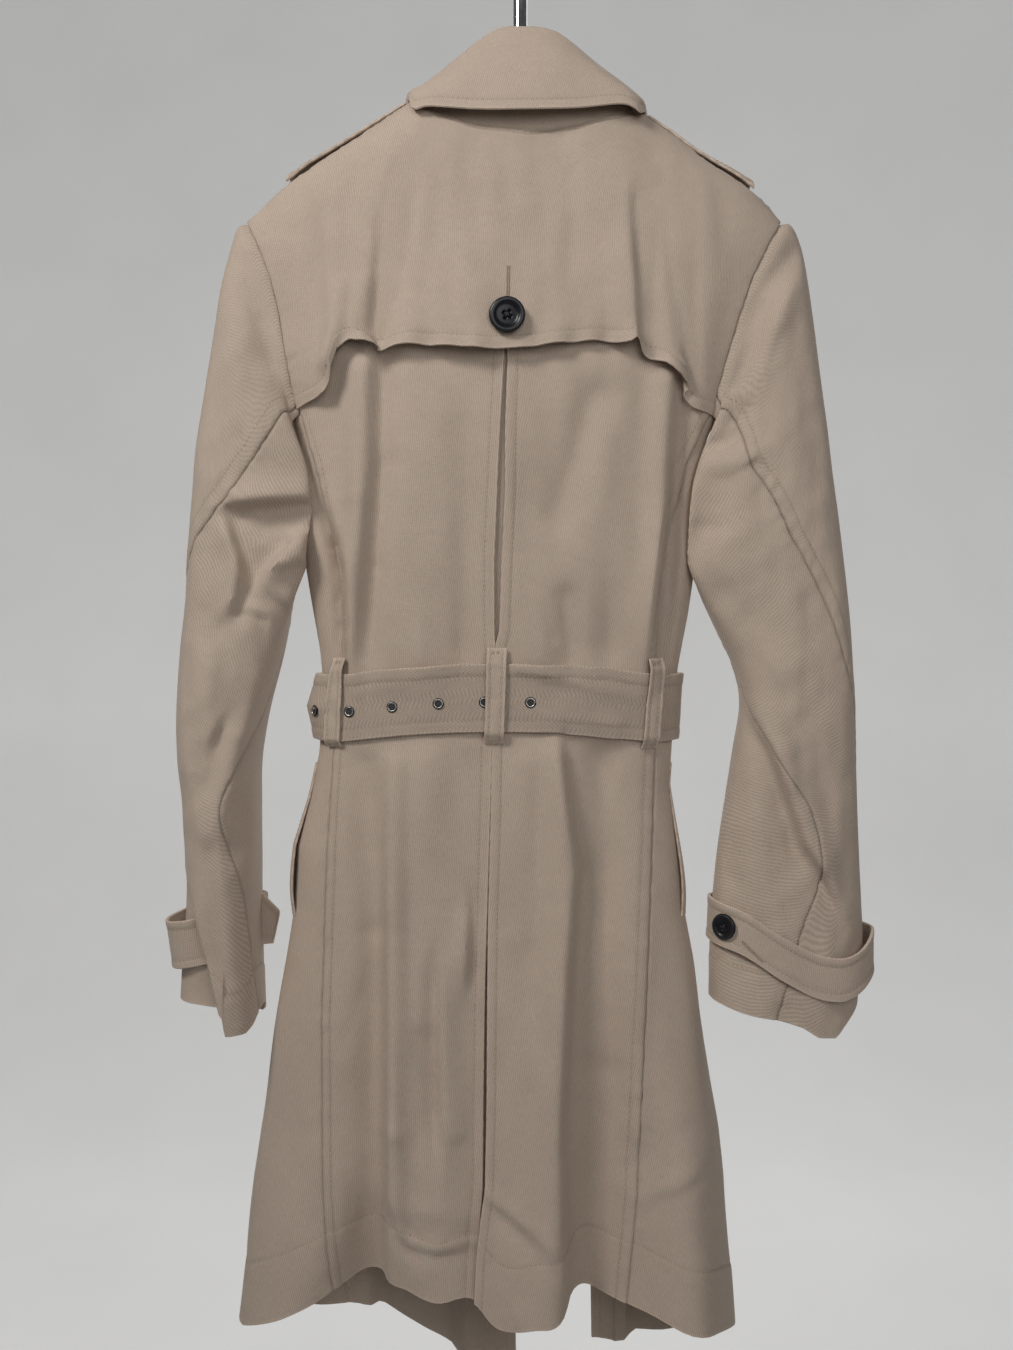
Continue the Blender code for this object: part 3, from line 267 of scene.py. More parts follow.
# Half sections of the body: the depth of its back, its side line and its front at each height.
BODY = table(("height", "back", "side", "front"), [
    (-1105, -100, -55, -26), (-1000, -98, -55, -26), (-900, -93, -54, -27), (-800, -90, -53, -28),
    (-700, -88, -52, -29), (-620, -86, -52, -30), (-570, -86, -52, -30), (-500, -90, -53, -29),
    (-384, -94, -55, -27), (-300, -93, -57, -27), (-243, -92, -58, -28), (-200, -92, -60, -29),
    (-150, -92, -61, -30),
])
LEFT_OUTLINE = table(("height", "x"), [
    (-1105, -211), (-1048, -208), (-1020, -205), (-980, -201), (-943, -197), (-910, -193), (-878, -188),
    (-826, -180), (-799, -176), (-766, -171), (-747, -168), (-720, -166), (-701, -165), (-680, -160),
    (-664, -156), (-633, -150), (-600, -147), (-579, -147), (-555, -149), (-530, -153), (-500, -158),
    (-484, -161), (-470, -162), (-440, -162), (-400, -165), (-384, -168), (-370, -175), (-340, -192),
    (-300, -206), (-265, -211), (-250, -206), (-243, -200), (-222.8, -177.6), (-216.8, -169.5),
    (-200.6, -145.8), (-185.8, -122), (-172.4, -101.4), (-159, -79), (-150, -64),
])
RIGHT_OUTLINE = table(("height", "x"), [
    (-1105, 161), (-1048, 158), (-1020, 156), (-980, 153.5), (-943, 151), (-910, 147), (-878, 141.6),
    (-826, 134), (-786, 129), (-747, 122), (-697, 116), (-656, 111), (-633, 113), (-600, 115),
    (-570, 118), (-530, 125), (-511, 127.5), (-490, 130), (-459, 131), (-429, 133), (-400, 138.5),
    (-384, 146), (-370, 152.5), (-340, 170), (-300, 192), (-265, 202), (-250, 197), (-243, 191),
    (-229, 179), (-222.8, 171), (-214.6, 159), (-208.7, 149.5), (-199, 134), (-185.8, 117),
    (-169.5, 93.2), (-166, 88), (-150, 65),
])
# Seams of the body: where the armhole, the side panels and the two halves of the back end.
ARMHOLE = table(("height", "left", "right"), [
    (-384, -161, 139.5), (-365, -165.6, 143), (-342, -169.9, 149.5), (-313, -174.2, 158.4),
    (-288, -180.3, 167), (-263, -189.9, 179), (-243, -200, 191),
])
PANEL_SEAM = table(("height", "left", "right"), [
    (-1060, -131, 73), (-1020, -133.5, 76), (-981, -138, 80), (-946, -141, 83), (-891, -142.5, 86),
    (-823, -143.3, 90), (-761, -142, 93), (-700, -140, 96), (-631, -136.5, 98.5), (-586, -131, 98),
    (-536, -129.5, 100.5), (-503, -132, 104), (-466, -138.5, 110), (-422, -149.5, 121),
    (-384, -161, 139.5),
])
CENTRE = table(("height", "left", "right"), [
    (-1060, -33.6, -33.3), (-1034, -33.4, -33.1), (-986, -31.3, -30.9), (-964, -29.2, -28.7),
    (-938, -27.0, -25.0), (-877, -26.6, -23.8), (-790, -25.4, -23.3), (-753, -24.4, -23.0),
    (-668, -21.8, -20.8), (-621, -20.5, -20.2), (-555, -18.3, -17.9), (-543, -18.9, -14.8),
    (-493, -18.9, -13.2), (-442, -16.8, -10.6), (-394, -14.6, -10.4), (-371, -13.2, -9.6),
    (-347, -12, -9), (-335, -10.6, -10.3), (-187, 4.8, 5.1),
])
FRONT_EDGE = table(("height", "left", "right"), [
    (-1105, -3, 56), (-900, -6, 53), (-620, -9, 50), (-520, -12, 49), (-400, -28, 53), (-235, -50, 62),
    (-200, -58, 67),
])
NECK = table(("x", "height"), [
    (-79, -159), (-58, -174), (-29, -182.6), (5, -187), (42, -182.6), (68, -174), (88, -166),
])
BACK_HEM = table(("x", "height"), [
    (-208, -1046), (-180, -1030), (-150, -1024), (-134, -1016), (-110, -1008), (-95, -1008),
    (-60, -1016), (-33, -1015), (-20, -1028), (10, -1026), (26, -1024), (34, -1017), (60, -1021),
    (100, -1026), (135, -1030), (160, -1046),
])
FRONT_HEM = table(("x", "height"), [
    (-208, -1050), (-182, -1060), (-160, -1064), (-136, -1052), (-113, -1056), (-69, -1084),
    (-30, -1097), (-3, -1101), (54, -1084), (87, -1083), (109, -1076), (140, -1062), (158, -1048),
])
# Folds: a soft ridge, or a trough where the depth is negative, along a line: x and height of
# its top and of its foot, its width at both and its depth at both, measured outwards.
BACK_FOLDS = [
    (-114, -360, -119, -448, 9, 9, 4, 5), (-119, -448, -125, -600, 9, 9, 5, 5),
    (-97, -352, -98, -423, 9, 9, -3, -4), (-98, -423, -104, -497, 9, 9, -4, -4.5),
    (-104, -497, -111, -585, 9, 9, -4.5, -4), (-159, -398, -149, -432, 4, 5, -3, -6),
    (-149, -432, -135, -480, 5, 6, -6, -8), (-135, -480, -130, -540, 6, 6, -8, -7),
    (-130, -540, -131, -580, 6, 6, -7, -4), (102, -366, 99, -470, 9, 9, 4, 5),
    (99, -470, 90, -580, 9, 9, 5, 5), (121, -388, 114, -440, 7, 6, -5, -5),
    (138, -392, 114, -440, 4, 5, -3, -6), (114, -440, 108, -510, 6, 6, -6, -8),
    (108, -510, 101, -585, 6, 7, -8, -5), (67, -360, 64, -560, 13, 13, 2, -3),
    (52, -378, 28, -460, 13, 14, -5, -3), (34, -520, 38, -568, 11, 12, -3, -5),
    (-62, -370, -70, -560, 22, 24, 3, 5), (-36, -400, -40, -568, 12, 12, -2, -4),
    (-116, -640, -104, -760, 12, 13, -4, -8), (-104, -760, -104, -930, 13, 15, -8, -8),
    (-104, -930, -112, -1060, 15, 26, -8, -42), (-90, -640, -92, -900, 11, 12, 5, 8),
    (-92, -900, -94, -1060, 12, 18, 8, 6), (-42, -640, -40, -740, 14, 12, -1, -3),
    (-48, -780, -46, -900, 9, 10, 1, 3), (-72, -640, -70, -820, 14, 12, 3, 3),
    (-58, -880, -58, -1060, 22, 30, 0, 9), (8, -800, 14, -1060, 26, 30, 0, 24),
    (26, -634, 26, -900, 13, 13, 5, 6), (26, -900, 24, -1000, 13, 15, 6, 2),
    (60, -634, 60, -860, 15, 17, -6, -10), (60, -860, 48, -1060, 17, 20, -10, -26),
    (84, -650, 88, -900, 12, 14, 2, 3), (118, -760, 132, -1060, 24, 30, 0, 34),
    (-168, -900, -178, -1060, 24, 26, 0, 14), (2, -640, -2, -760, 13, 15, 4, 2),
]
FRONT_FOLDS = [
    (-80, -420, -60, -520, 24, 18, -5, -5), (90, -420, 80, -520, 22, 18, -5, -5),
    (-60, -660, -70, -1080, 22, 34, -4, 8), (-130, -660, -150, -1080, 20, 30, 4, -10),
    (-25, -700, -30, -1090, 20, 30, 3, -6), (90, -660, 110, -1080, 20, 30, 4, -10),
    (60, -700, 78, -1080, 20, 26, -3, 6),
]


def folds(x, z, rows, crisp=None):
    """Height of a group of folds at the given places: soft, or with crisp tops and sides that
    run out slowly. Folds that meet end to end don't add up."""
    ridge = np.zeros(np.broadcast(x, z).shape)
    trough = np.zeros_like(ridge)
    for x1, z1, x2, z2, width1, width2, depth1, depth2 in rows:
        run_x, run_z = x2 - x1, z2 - z1
        t = ((x - x1) * run_x + (z - z1) * run_z) / (run_x**2 + run_z**2)
        t = np.clip(t, 0, 1)
        away = np.hypot(x - x1 - t * run_x, z - z1 - t * run_z)
        width = width1 + t * (width2 - width1)
        depth = depth1 + t * (depth2 - depth1)
        if crisp:
            height = depth * np.exp(-(np.sqrt(away**2 + crisp**2) - crisp) / width)
        else:
            height = depth * np.exp(-((away / width) ** 2))
        ridge += np.maximum(height, 0) ** 4
        trough += np.minimum(height, 0) ** 4
    return ridge**0.25 - trough**0.25


def across(x, z):
    """How far a point is from the middle of the body, where the outline is 1."""
    left = line(LEFT_OUTLINE, "x", z)
    right = line(RIGHT_OUTLINE, "x", z)
    return np.clip((2 * x - left - right) / (right - left), -1, 1)


def ripples(x, z, seed, wide, tall, count=14):
    """Slow uneven waves with a height of about 1, the same at each run."""
    chance = np.random.default_rng(seed)
    total = np.zeros(np.broadcast(x, z).shape)
    for _ in range(count):
        turn = chance.uniform(0, math.pi)
        quick = 2 * math.pi * chance.uniform(0.55, 1.5)
        start = chance.uniform(0, 2 * math.pi)
        total += np.sin(quick * (x / wide * math.cos(turn) + z / tall * math.sin(turn)) + start)
    return total * math.sqrt(2 / count)


# Finer creases than the folds, with crisp tops, in the same order.
CRISP = 1.6
BACK_CREASES = [
    (49.6, -378, 28, -452, 8, 9, -1.6, -1.2), (31, -520, 36, -564, 5, 6, -1.6, -1.4),
    (-70, -520, -72, -566, 5, 5, 0, 1.6), (-46, -500, -43, -566, 6, 5, 0, -1.6),
    (12, -500, 24, -548, 6, 5, 0, -1.8), (12, -510, 16, -566, 6, 5, 0, 1.6),
    (60, -480, 66, -566, 6, 6, 0, -1.8), (-108, -640, -106, -700, 5, 6, -2.0, -1.4),
    (-96, -690, -94, -900, 4, 5, 0.4, 1.6), (-90, -950, -34, -958, 9, 10, 1.6, 1.8),
    (-92, -960, -74, -970, 5, 5, -1.0, -1.4), (-70, -1000, -50, -960, 4, 5, 1.2, 1.4),
    (-20, -944, 30, -984, 7, 8, 2.4, 2.0), (-12, -956, 22, -990, 5, 6, -1.6, -1.2),
    (88, -952, 130, -926, 7, 8, 2.0, 2.2), (74, -930, 118, -900, 6, 7, -1.2, -1.4),
    (-128, -840, -112, -800, 6, 6, -1.2, -1.0), (62, -700, 74, -640, 6, 5, 0, 1.6),
    (12, -690, 9, -626, 7, 6, 0, 1.6), (76, -820, 70, -1000, 10, 12, 0, 2.0),
    (-130, -900, -124, -1015, 10, 12, 0, 3.0), (-8, -880, -2, -1020, 12, 14, 0, 3.0),
]
FRONT_CREASES = [
    (-40, -640, -46, -720, 8, 10, 3, 1), (70, -640, 66, -730, 8, 10, -3, -1),
    (-95, -560, -100, -500, 8, 8, 2, 0), (-100, -300, -60, -380, 14, 12, 2, 1),
    (100, -300, 80, -380, 14, 12, 2, 1),
]
# Sharp folds, each a line of points, x and height, with a width and a depth at each: high on
# the left of the line, steep across it and low on its right.
BACK_LAPS = [
    [(-118, -556, 11, 1), (-115.5, -530, 11, 2.6), (-113, -498, 12, 3.4), (-110.5, -464, 12, 3.6),
     (-106, -424, 12, 3.6), (-105.5, -352, 12, 3.2)],
    [(97, -556, 10, 2), (98.6, -525, 11, 5), (102.3, -493, 12, 7), (107, -453, 12, 7.5),
     (108.6, -424, 12, 7), (112, -362, 12, 5)],
    [(33, -1060, 15, 9), (33.2, -1009, 17, 8), (31, -898, 18, 8.5), (36.8, -780, 17, 9),
     (42.5, -716, 16, 8.5), (36, -670, 15, 7), (31, -630, 14, 5)],
    [(-97, -640, 10, 1), (-97, -740, 11, 3), (-96, -900, 12, 7), (-97, -1040, 12, 6)],
    [(-158.7, -399, 5, 2), (-151.5, -427, 7, 4), (-140.7, -458, 8, 6), (-132.8, -481, 8, 6),
     (-127.7, -499, 8, 6), (-128, -550, 8, 4), (-128, -572, 8, 2)],
    [(-58, -770, 8, 0.5), (-59, -800, 10, 4.6), (-58, -890, 10, 4.4), (-57, -935, 10, 0.5)],
    [(-38, -806, 8, 0.5), (-37, -785, 9, 4.4), (-36, -750, 9, 3.6), (-37, -725, 9, 0.5)],
    [(-93, -948, 7, 0.6), (-88, -966, 7, 2.2), (-79, -980, 7, 2.8), (-55, -981, 7, 2.2), (-35, -979, 7, 1)],
    [(-20, -946, 8, 1), (5, -963, 8, 2.4), (28, -982, 8, 1)],
    [(88, -950, 8, 1), (108, -940, 8, 2.4), (128, -928, 8, 1)],
]
FRONT_LAPS = [
    [(-96, -650, 11, 1), (-100, -760, 13, 4), (-108, -1000, 18, 6), (-112, -1090, 20, 6)],
    [(-48, -1090, 20, 5), (-46, -980, 17, 5), (-40, -800, 14, 3), (-36, -690, 12, 1)],
    [(70, -650, 11, 1), (74, -790, 14, 4), (84, -1090, 20, 7)],
    [(-118, -560, 9, 1), (-104, -520, 11, 4), (-96, -450, 12, 3), (-96, -400, 12, 1)],
    [(92, -400, 12, 1), (96, -470, 12, 3), (108, -530, 11, 4), (118, -565, 9, 1)],
]
STEEP = 2.6


def laps(x, z, rows, steep=STEEP):
    """Height of a group of sharp folds."""
    total = np.zeros(np.broadcast(x, z).shape)
    for points in rows:
        nearest = np.full(total.shape, 1e6)
        height = np.zeros(total.shape)
        for (x1, z1, width1, depth1), (x2, z2, width2, depth2) in zip(points[:-1], points[1:]):
            run_x, run_z = x2 - x1, z2 - z1
            length = math.hypot(run_x, run_z)
            t = np.clip(((x - x1) * run_x + (z - z1) * run_z) / length**2, 0, 1)
            away = np.hypot(x - x1 - t * run_x, z - z1 - t * run_z)
            beside = ((z - z1) * run_x - (x - x1) * run_z) / length
            width = width1 + t * (width2 - width1)
            depth = depth1 + t * (depth2 - depth1)
            step = depth * np.tanh(beside / steep) * np.exp(-((away / width) ** 2))
            height = np.where(away < nearest, step, height)
            nearest = np.minimum(away, nearest)
        total += height
    return total


def fold_lift(x, z, face):
    """Folds, creases and slow waves of the body's cloth, still along the sides and the belt."""
    big = folds(x, z, BACK_FOLDS if face > 0 else FRONT_FOLDS)
    big = big + laps(x, z, BACK_LAPS if face > 0 else FRONT_LAPS)
    fine = folds(x, z, BACK_CREASES if face > 0 else FRONT_CREASES, CRISP)
    waves = 0.9 * ripples(x, z, 31 - face, 60, 190) + 0.3 * ripples(x, z, 41 - face, 26, 80)
    still = np.exp(-(((z - WAIST) / 34) ** 4))
    big = big * (1 - 0.55 * still)
    return (big + (fine + waves) * (1 - 0.85 * still)) * (1 - across(x, z) ** 8)


def body_depth(x, z, face):
    """Depth of the body's outer side. Face is 1 for its back and -1 for its front."""
    full = (1 - np.abs(across(x, z)) ** ROUND) ** (1 / ROUND)
    side = read(BODY, "side", z)
    end = read(BODY, "back" if face > 0 else "front", z)
    return side + (end - side) * full - face * fold_lift(x, z, face)


def outside(x, y, z):
    """Negative inside the body's outer side and positive outside it."""
    side = read(BODY, "side", z)
    rear = y + fold_lift(x, z, 1) < side
    smooth = np.where(rear, y + fold_lift(x, z, 1), y - fold_lift(x, z, -1))
    end = np.where(rear, read(BODY, "back", z), read(BODY, "front", z))
    return np.abs(across(x, z)) ** ROUND + np.abs((smooth - side) / (end - side)) ** ROUND - 1


def body_normal(points):
    """Directions out of the body's outer side at points on it."""
    x, y, z = points[..., 0], points[..., 1], points[..., 2]
    step = 0.05
    slope = np.stack(
        (
            outside(x + step, y, z) - outside(x - step, y, z),
            outside(x, y + step, z) - outside(x, y - step, z),
            outside(x, y, z + step) - outside(x, y, z - step),
        ),
        axis=-1,
    )
    return unit(slope)


def surface_normal(points, outward):
    """Normals of a grid of points, on the side that faces the given direction."""
    normal = unit(np.cross(np.gradient(points, axis=1), np.gradient(points, axis=0)))
    return normal * np.sign((normal * np.array(outward, float)).sum())


def stations(length, step, first=(), last=()):
    """Parts of a length at even steps, with closer ones at distances from either end."""
    low = np.array((0.0, *first))
    high = length - np.array((0.0, *last))[::-1]
    count = max(int(round((high[0] - low[-1]) / step)), 2)
    middle = np.linspace(low[-1], high[0], count + 1)[1:-1]
    return np.concatenate((low, middle, high)) / length


def ways(grid):
    """Distances of a grid's points from its sides: its low and high rows, its first and last columns."""
    across_it = np.cumsum(np.linalg.norm(np.diff(grid, axis=1, prepend=grid[:, :1]), axis=-1), axis=1)
    up_it = np.cumsum(np.linalg.norm(np.diff(grid, axis=0, prepend=grid[:1]), axis=-1), axis=0)
    return {
        "low": up_it,
        "high": up_it[-1:] - up_it,
        "first": across_it,
        "last": across_it[:, -1:] - across_it,
    }


# How deep a seam, a row of stitches and a hem's row sink, how high the doubled cloth at an edge
# rises, and how high the cloth puckers beside them.
SEAM_SINK, SEAM_PUCKER = 0.7, 0.2
ROW_SINK, ROW_RISE = 0.35, 0.4
HEM_SINK, HEM_RISE, HEM_PUCKER = 0.3, 0.55, 0.3
DENT = 1.2


def dent(away, wide=DENT):
    """A narrow dent along a line, 1 deep in its middle."""
    return np.exp(-((away / wide) ** 2))


def sew(grid, normals, seed, seams=(), rows=(), hems=(), free=(), gentle=()):
    """Work sewn seams, gentler where named, rows of stitches, turned hems and free edges into cloth. The tone
    it returns is painted shade in the grooves of seams, rows and hems, and lighter wear along free edges.
    """
    way = ways(grid)
    lift = np.zeros(grid.shape[:2])
    tone = np.zeros(grid.shape[:2])
    for number, side in enumerate(seams):
        away = way[side]
        along = way["low"] if side in ("first", "last") else way["first"]
        force = 0.3 if side in gentle else 1.0
        lift -= SEAM_SINK * force * dent(away, 1.0)
        uneven = ripples(along, away * 0.4, seed * 10 + number, 11, 30)
        lift += SEAM_PUCKER * uneven * dent(away, 9)
        # Painted shade: the seam line, and a faint band beside it, are darkened where the seam's dent lies in
        # shade.
        tone -= 0.5 * force * dent(away, 0.9) + 0.08 * dent(away, 5)
    for side, distance in rows:
        away = way[side] - distance
        lift += ROW_RISE * (1 - ease(-1.5, 1.5, away)) - ROW_SINK * dent(away)
        # Painted shade: the tone is darkened along the sunk row of stitches.
        tone -= 0.26 * dent(away)
    for side, distance in hems:
        away = way[side] - distance
        lift += HEM_RISE * (1 - ease(-0.8, 0.8, away)) - HEM_SINK * dent(away)
        along = way["first"] if side in ("low", "high") else way["low"]
        uneven = ripples(along, away * 0.5, seed * 10 + 7, 16, 40)
        lift += HEM_PUCKER * uneven * dent(away, 14)
        # Painted shade: the tone is darkened along the sunk row of the hem.
        tone -= 0.36 * dent(away)
    for side in free:
        tone += 0.35 * dent(way[side])
    return grid + normals * lift[..., None], tone


EDGE_ROUND = 0.32


def cloth(name, outer, normals, tone=None, thick=CLOTH, closed=False, turn=1.0, weave=None):
    """A thin wall of cloth: a grid of outer points, the same grid moved in, and rounded edges."""
    rows, columns = outer.shape[:2]
    inner = outer - normals * thick
    if closed:
        rims = [[(0, c) for c in range(columns)], [(rows - 1, c) for c in range(columns)][::-1]]
    else:
        edge = [(0, c) for c in range(columns)]
        edge += [(r, columns - 1) for r in range(1, rows)]
        edge += [(rows - 1, c) for c in range(columns - 2, -1, -1)]
        edge += [(r, 0) for r in range(rows - 2, 0, -1)]
        rims = [edge]
    count = rows * columns
    points = [outer.reshape(-1, 3), inner.reshape(-1, 3)]
    along = ways(outer)["first"]
    up = ways(outer)["low"] * turn
    flat = np.stack((along, up), axis=-1).reshape(-1, 2)
    maps = [flat, flat]
    shade = np.zeros((rows, columns)) if tone is None else tone
    tones = [shade.ravel(), shade.ravel() * 0.5 - 0.1]
    index = np.arange(count).reshape(rows, columns)
    following = np.roll(index, -1, axis=1)
    reach = columns if closed else columns - 1
    a, b = index[:-1, :reach], following[:-1, :reach]
    d, e = index[1:, :reach], following[1:, :reach]
    faces = np.stack((a, b, e, d), axis=-1).reshape(-1, 4).tolist()
    faces += (np.stack((a, d, e, b), axis=-1).reshape(-1, 4) + count).tolist()
    for edge in rims:
        at = np.array([r * columns + c for r, c in edge])
        near = np.array([
            (min(max(r, 1), rows - 2), c if closed else min(max(c, 1), columns - 2)) for r, c in edge
        ])
        out = points[0][at] - points[0][near[:, 0] * columns + near[:, 1]]
        out = out / np.maximum(np.linalg.norm(out, axis=-1, keepdims=True), 1e-6)
        middle = (points[0][at] + points[1][at]) / 2 + out * thick * EDGE_ROUND
        base = sum(len(p) for p in points)
        points.append(middle)
        maps.append(flat[at])
        tones.append(shade.ravel()[at])
        ahead = np.roll(at, -1)
        here = base + np.arange(len(at))
        there = np.roll(here, -1)
        faces += np.stack((at, here, there, ahead), axis=-1).tolist()
        faces += np.stack((here, at + count, ahead + count, there), axis=-1).tolist()
    flat, shade = np.concatenate(maps), np.concatenate(tones)
    piece = mesh_piece(name, np.concatenate(points), faces, weave or TWILL, 0.9, flat, shade)
    volume = np.einsum("rci,rci->", normals[1:-1, 1:-1], np.cross(
        outer[1:-1, 2:] - outer[1:-1, :-2], outer[2:, 1:-1] - outer[:-2, 1:-1]))
    if volume < 0:
        piece.data.flip_normals()
    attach(piece, "root")
    return piece


def inset(grid, normals, side, distance, start=0.0, stop=0.0):
    """A line on a grid at a distance from one of its sides, with its normals."""
    if side in ("low", "high"):
        grid = np.swapaxes(grid, 0, 1)
        normals = np.swapaxes(normals, 0, 1)
    if side in ("high", "last"):
        grid = grid[:, ::-1]
        normals = normals[:, ::-1]
    length = ways(grid)["first"]
    line_points = []
    line_normals = []
    for k in range(len(grid)):
        line_points.append(at_place(distance, length[k], grid[k]))
        line_normals.append(at_place(distance, length[k], normals[k]))
    return trimmed(np.array(line_points), np.array(line_normals), start, stop)


def along_it(points):
    """How far each point of a line is from its start, along the line."""
    return np.cumsum(np.linalg.norm(np.diff(points, axis=0, prepend=points[:1]), axis=-1))


def at_place(place, far, values):
    """A line's values, each with three parts, at a distance from its start."""
    return np.array([np.interp(place, far, values[:, i]) for i in range(3)])


def trimmed(points, normals, start, stop):
    """A line without its first and last stretch."""
    far = along_it(points)
    keep = (far >= start) & (far <= far[-1] - stop)
    return points[keep], normals[keep]


STITCH = 2.7
STITCH_PITCH = 3.5
THREAD = 0.72


def stitches(name, lines, seed=1):
    """Rows of stitches as one object: each stitch a short bead of thread, its ends sunk in."""
    chance = np.random.default_rng(seed)
    points = []
    faces = []
    for path, normals in lines:
        far = along_it(path)
        for at in np.arange(0.6, far[-1] - STITCH, STITCH_PITCH):
            ends = [at_place(place, far, path) for place in (at, at + STITCH)]
            out = at_place(at + STITCH / 2, far, normals)
            out = out / np.linalg.norm(out)
            along = ends[1] - ends[0]
            side = np.cross(along, out)
            side = side / max(np.linalg.norm(side), 1e-6)
            slant = side * chance.uniform(-0.12, 0.12)
            base = len(points)
            points.append(ends[0] - out * 0.25 - slant)
            for part, grow in ((0.22, 0.9), (0.5, 1.0), (0.78, 0.9)):
                middle = ends[0] + along * part + out * 0.12 + slant * (2 * part - 1)
                for u, w in ((1, 0), (0, 0.62), (-1, 0), (0, -0.62)):
                    points.append(middle + (side * u + out * w) * THREAD / 2 * grow)
            points.append(ends[1] - out * 0.25 + slant)
            for i in range(4):
                n = (i + 1) % 4
                faces.append((base, base + 1 + n, base + 1 + i))
                faces.append((base + 1 + i, base + 1 + n, base + 5 + n, base + 5 + i))
                faces.append((base + 5 + i, base + 5 + n, base + 9 + n, base + 9 + i))
                faces.append((base + 9 + i, base + 9 + n, base + 13))
    piece = mesh_piece(name, points, faces, COTTON, 1.2)
    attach(piece, "root")
    return piece


def twill(name, slant, pitch=0.0015, turn_back=None):
    """Beige cotton twill: fine ribs at a slant and a pitch, broken by the threads that cross them, slow
    patches of colour from washing, lighter worn edges, and painted shade where seams, stitch rows and hems
    sink. Turn_back is how far a herringbone runs before it turns."""
    material, tree, shader = nodes_of(name)
    place = add(tree, "ShaderNodeUVMap", {"uv_map": "cloth"}).outputs[0]
    thing = spot_on(tree)
    wander = add(tree, "ShaderNodeTexNoise", Vector=place, Scale=90.0, Detail=1.0).outputs["Color"]
    shift = add(tree, "ShaderNodeVectorMath", {"operation": "SCALE"}, _0=wander, Scale=0.0014).outputs[0]
    bent = add(tree, "ShaderNodeVectorMath", {"operation": "ADD"}, _0=place, _1=shift).outputs[0]
    if turn_back:
        parts = add(tree, "ShaderNodeSeparateXYZ", _0=bent)
        back = sum_of(tree, "PINGPONG", parts.outputs["Y"], turn_back)
        bent = add(tree, "ShaderNodeCombineXYZ", _0=parts.outputs["X"], _1=back).outputs[0]

    def bands(angle, apart):
        quick = 2 * math.pi / apart
        turned = (quick * math.cos(angle), quick * math.sin(angle), 0.0)
        run = add(tree, "ShaderNodeVectorMath", {"operation": "DOT_PRODUCT"}, _0=bent, _1=turned)
        wave = sum_of(tree, "SINE", run.outputs["Value"], 0.0)
        return sum_of(tree, "MULTIPLY_ADD", wave, 0.5, 0.5)

    rib = bands(slant, pitch)
    cross = bands(slant + 1.35, 0.00115)
    fleck = drawn_out(tree, place, (760, 240, 1), Roughness=0.7)
    weave = sum_of(tree, "MULTIPLY_ADD", rib, 0.62, 0.38)
    weave = sum_of(tree, "MULTIPLY", weave, sum_of(tree, "MULTIPLY_ADD", cross, 0.45, 0.55))
    weave = sum_of(tree, "MULTIPLY", weave, sum_of(tree, "MULTIPLY_ADD", fleck, 1.7, 0.15))

    patches = noise(tree, thing, 9.0, 4.0, Roughness=0.6)
    cloudy = noise(tree, thing, 45.0, 5.0, Roughness=0.7)
    slub = drawn_out(tree, place, (60, 900, 1))

    light = mixed(tree, patches, (0.560, 0.452, 0.368, 1), (0.600, 0.498, 0.412, 1))
    dark = mixed(tree, cloudy, (0.250, 0.190, 0.142, 1), (0.330, 0.262, 0.200, 1))
    colour = mixed(tree, sum_of(tree, "MULTIPLY_ADD", weave, 0.95, 0.28), dark, light)
    tone = add(tree, "ShaderNodeAttribute", {"attribute_name": "tone"}).outputs["Fac"]
    value = sum_of(tree, "MULTIPLY_ADD", cloudy, 0.16, 0.90)
    value = sum_of(tree, "MULTIPLY_ADD", slub, 0.10, sum_of(tree, "ADD", value, -0.03))
    # The tone attribute brings in the painted shade of seams, stitch rows and hems, and the lighter worn
    # edges.
    value = sum_of(tree, "MULTIPLY_ADD", tone, 0.34, value)
    ribs = raised(tree, 0.55, 0.00028, weave)
    slubs = raised(tree, 0.35, 0.0003, slub, Normal=ribs)
    settle(tree, shader, {
        "Base Color": add(tree, "ShaderNodeHueSaturation", Value=value, Color=colour).outputs[0],
        "Roughness": sum_of(tree, "MULTIPLY_ADD", cloudy, 0.14, 0.76),
        "Specular IOR Level": 0.22,
        "Sheen Weight": 0.12,
        "Sheen Roughness": 0.5,
        "Normal": raised(tree, 0.42, 0.0012, cloudy, Normal=slubs),
    })
    return material


def twisted(name, dark, light, rough, strength):
    """Sewing thread: strands twisted together, darker between them."""
    material, tree, shader = nodes_of(name)
    twist = noise(tree, spot_on(tree), 1800.0, 2.0)
    settle(tree, shader, {
        "Base Color": mixed(tree, twist, dark, light),
        "Roughness": rough,
        "Normal": raised(tree, strength, 0.0001, twist),
    })
    return material


TWILL = twill("beige_twill", -0.14)
COTTON = twisted("sewing_thread", (0.30, 0.235, 0.165, 1), (0.52, 0.43, 0.32, 1), 0.6, 0.5)

UPPER_ROWS = np.sin(np.linspace(0, math.pi / 2, 66))[1:]
PANEL_LENGTH = 650.0
HEM = 43.0
HEM_LEVEL = -1040
NECK_LEFT, NECK_RIGHT = -79.0, 88.0
NECK_MIDDLE, FRONT_TOP = -187, -200
VENT_RISE = {"left": -1.5, "right": 4.5}


def top_height(x, front_edge=None):
    """Height of the neck seam and the shoulder line over x."""
    slopes = []
    for outline in (LEFT_OUTLINE["rows"], RIGHT_OUTLINE["rows"]):
        slope = outline[outline[:, 0] >= SHOULDER]
        slope = slope[np.argsort(slope[:, 1])]
        slopes.append(np.interp(x, slope[:, 1], slope[:, 0]))
    left, right = slopes
    shoulder = np.where(x < 0, left, right)
    if front_edge is None:
        neck = line(NECK, "height", x)
    else:
        corner = NECK_LEFT if front_edge < 0 else NECK_RIGHT
        t = (x - front_edge) / (corner - front_edge)
        neck = FRONT_TOP + t * (line(NECK, "height", corner) - FRONT_TOP)
    over_neck = (x > NECK_LEFT) & (x < NECK_RIGHT)
    return np.where(over_neck, neck, shoulder)


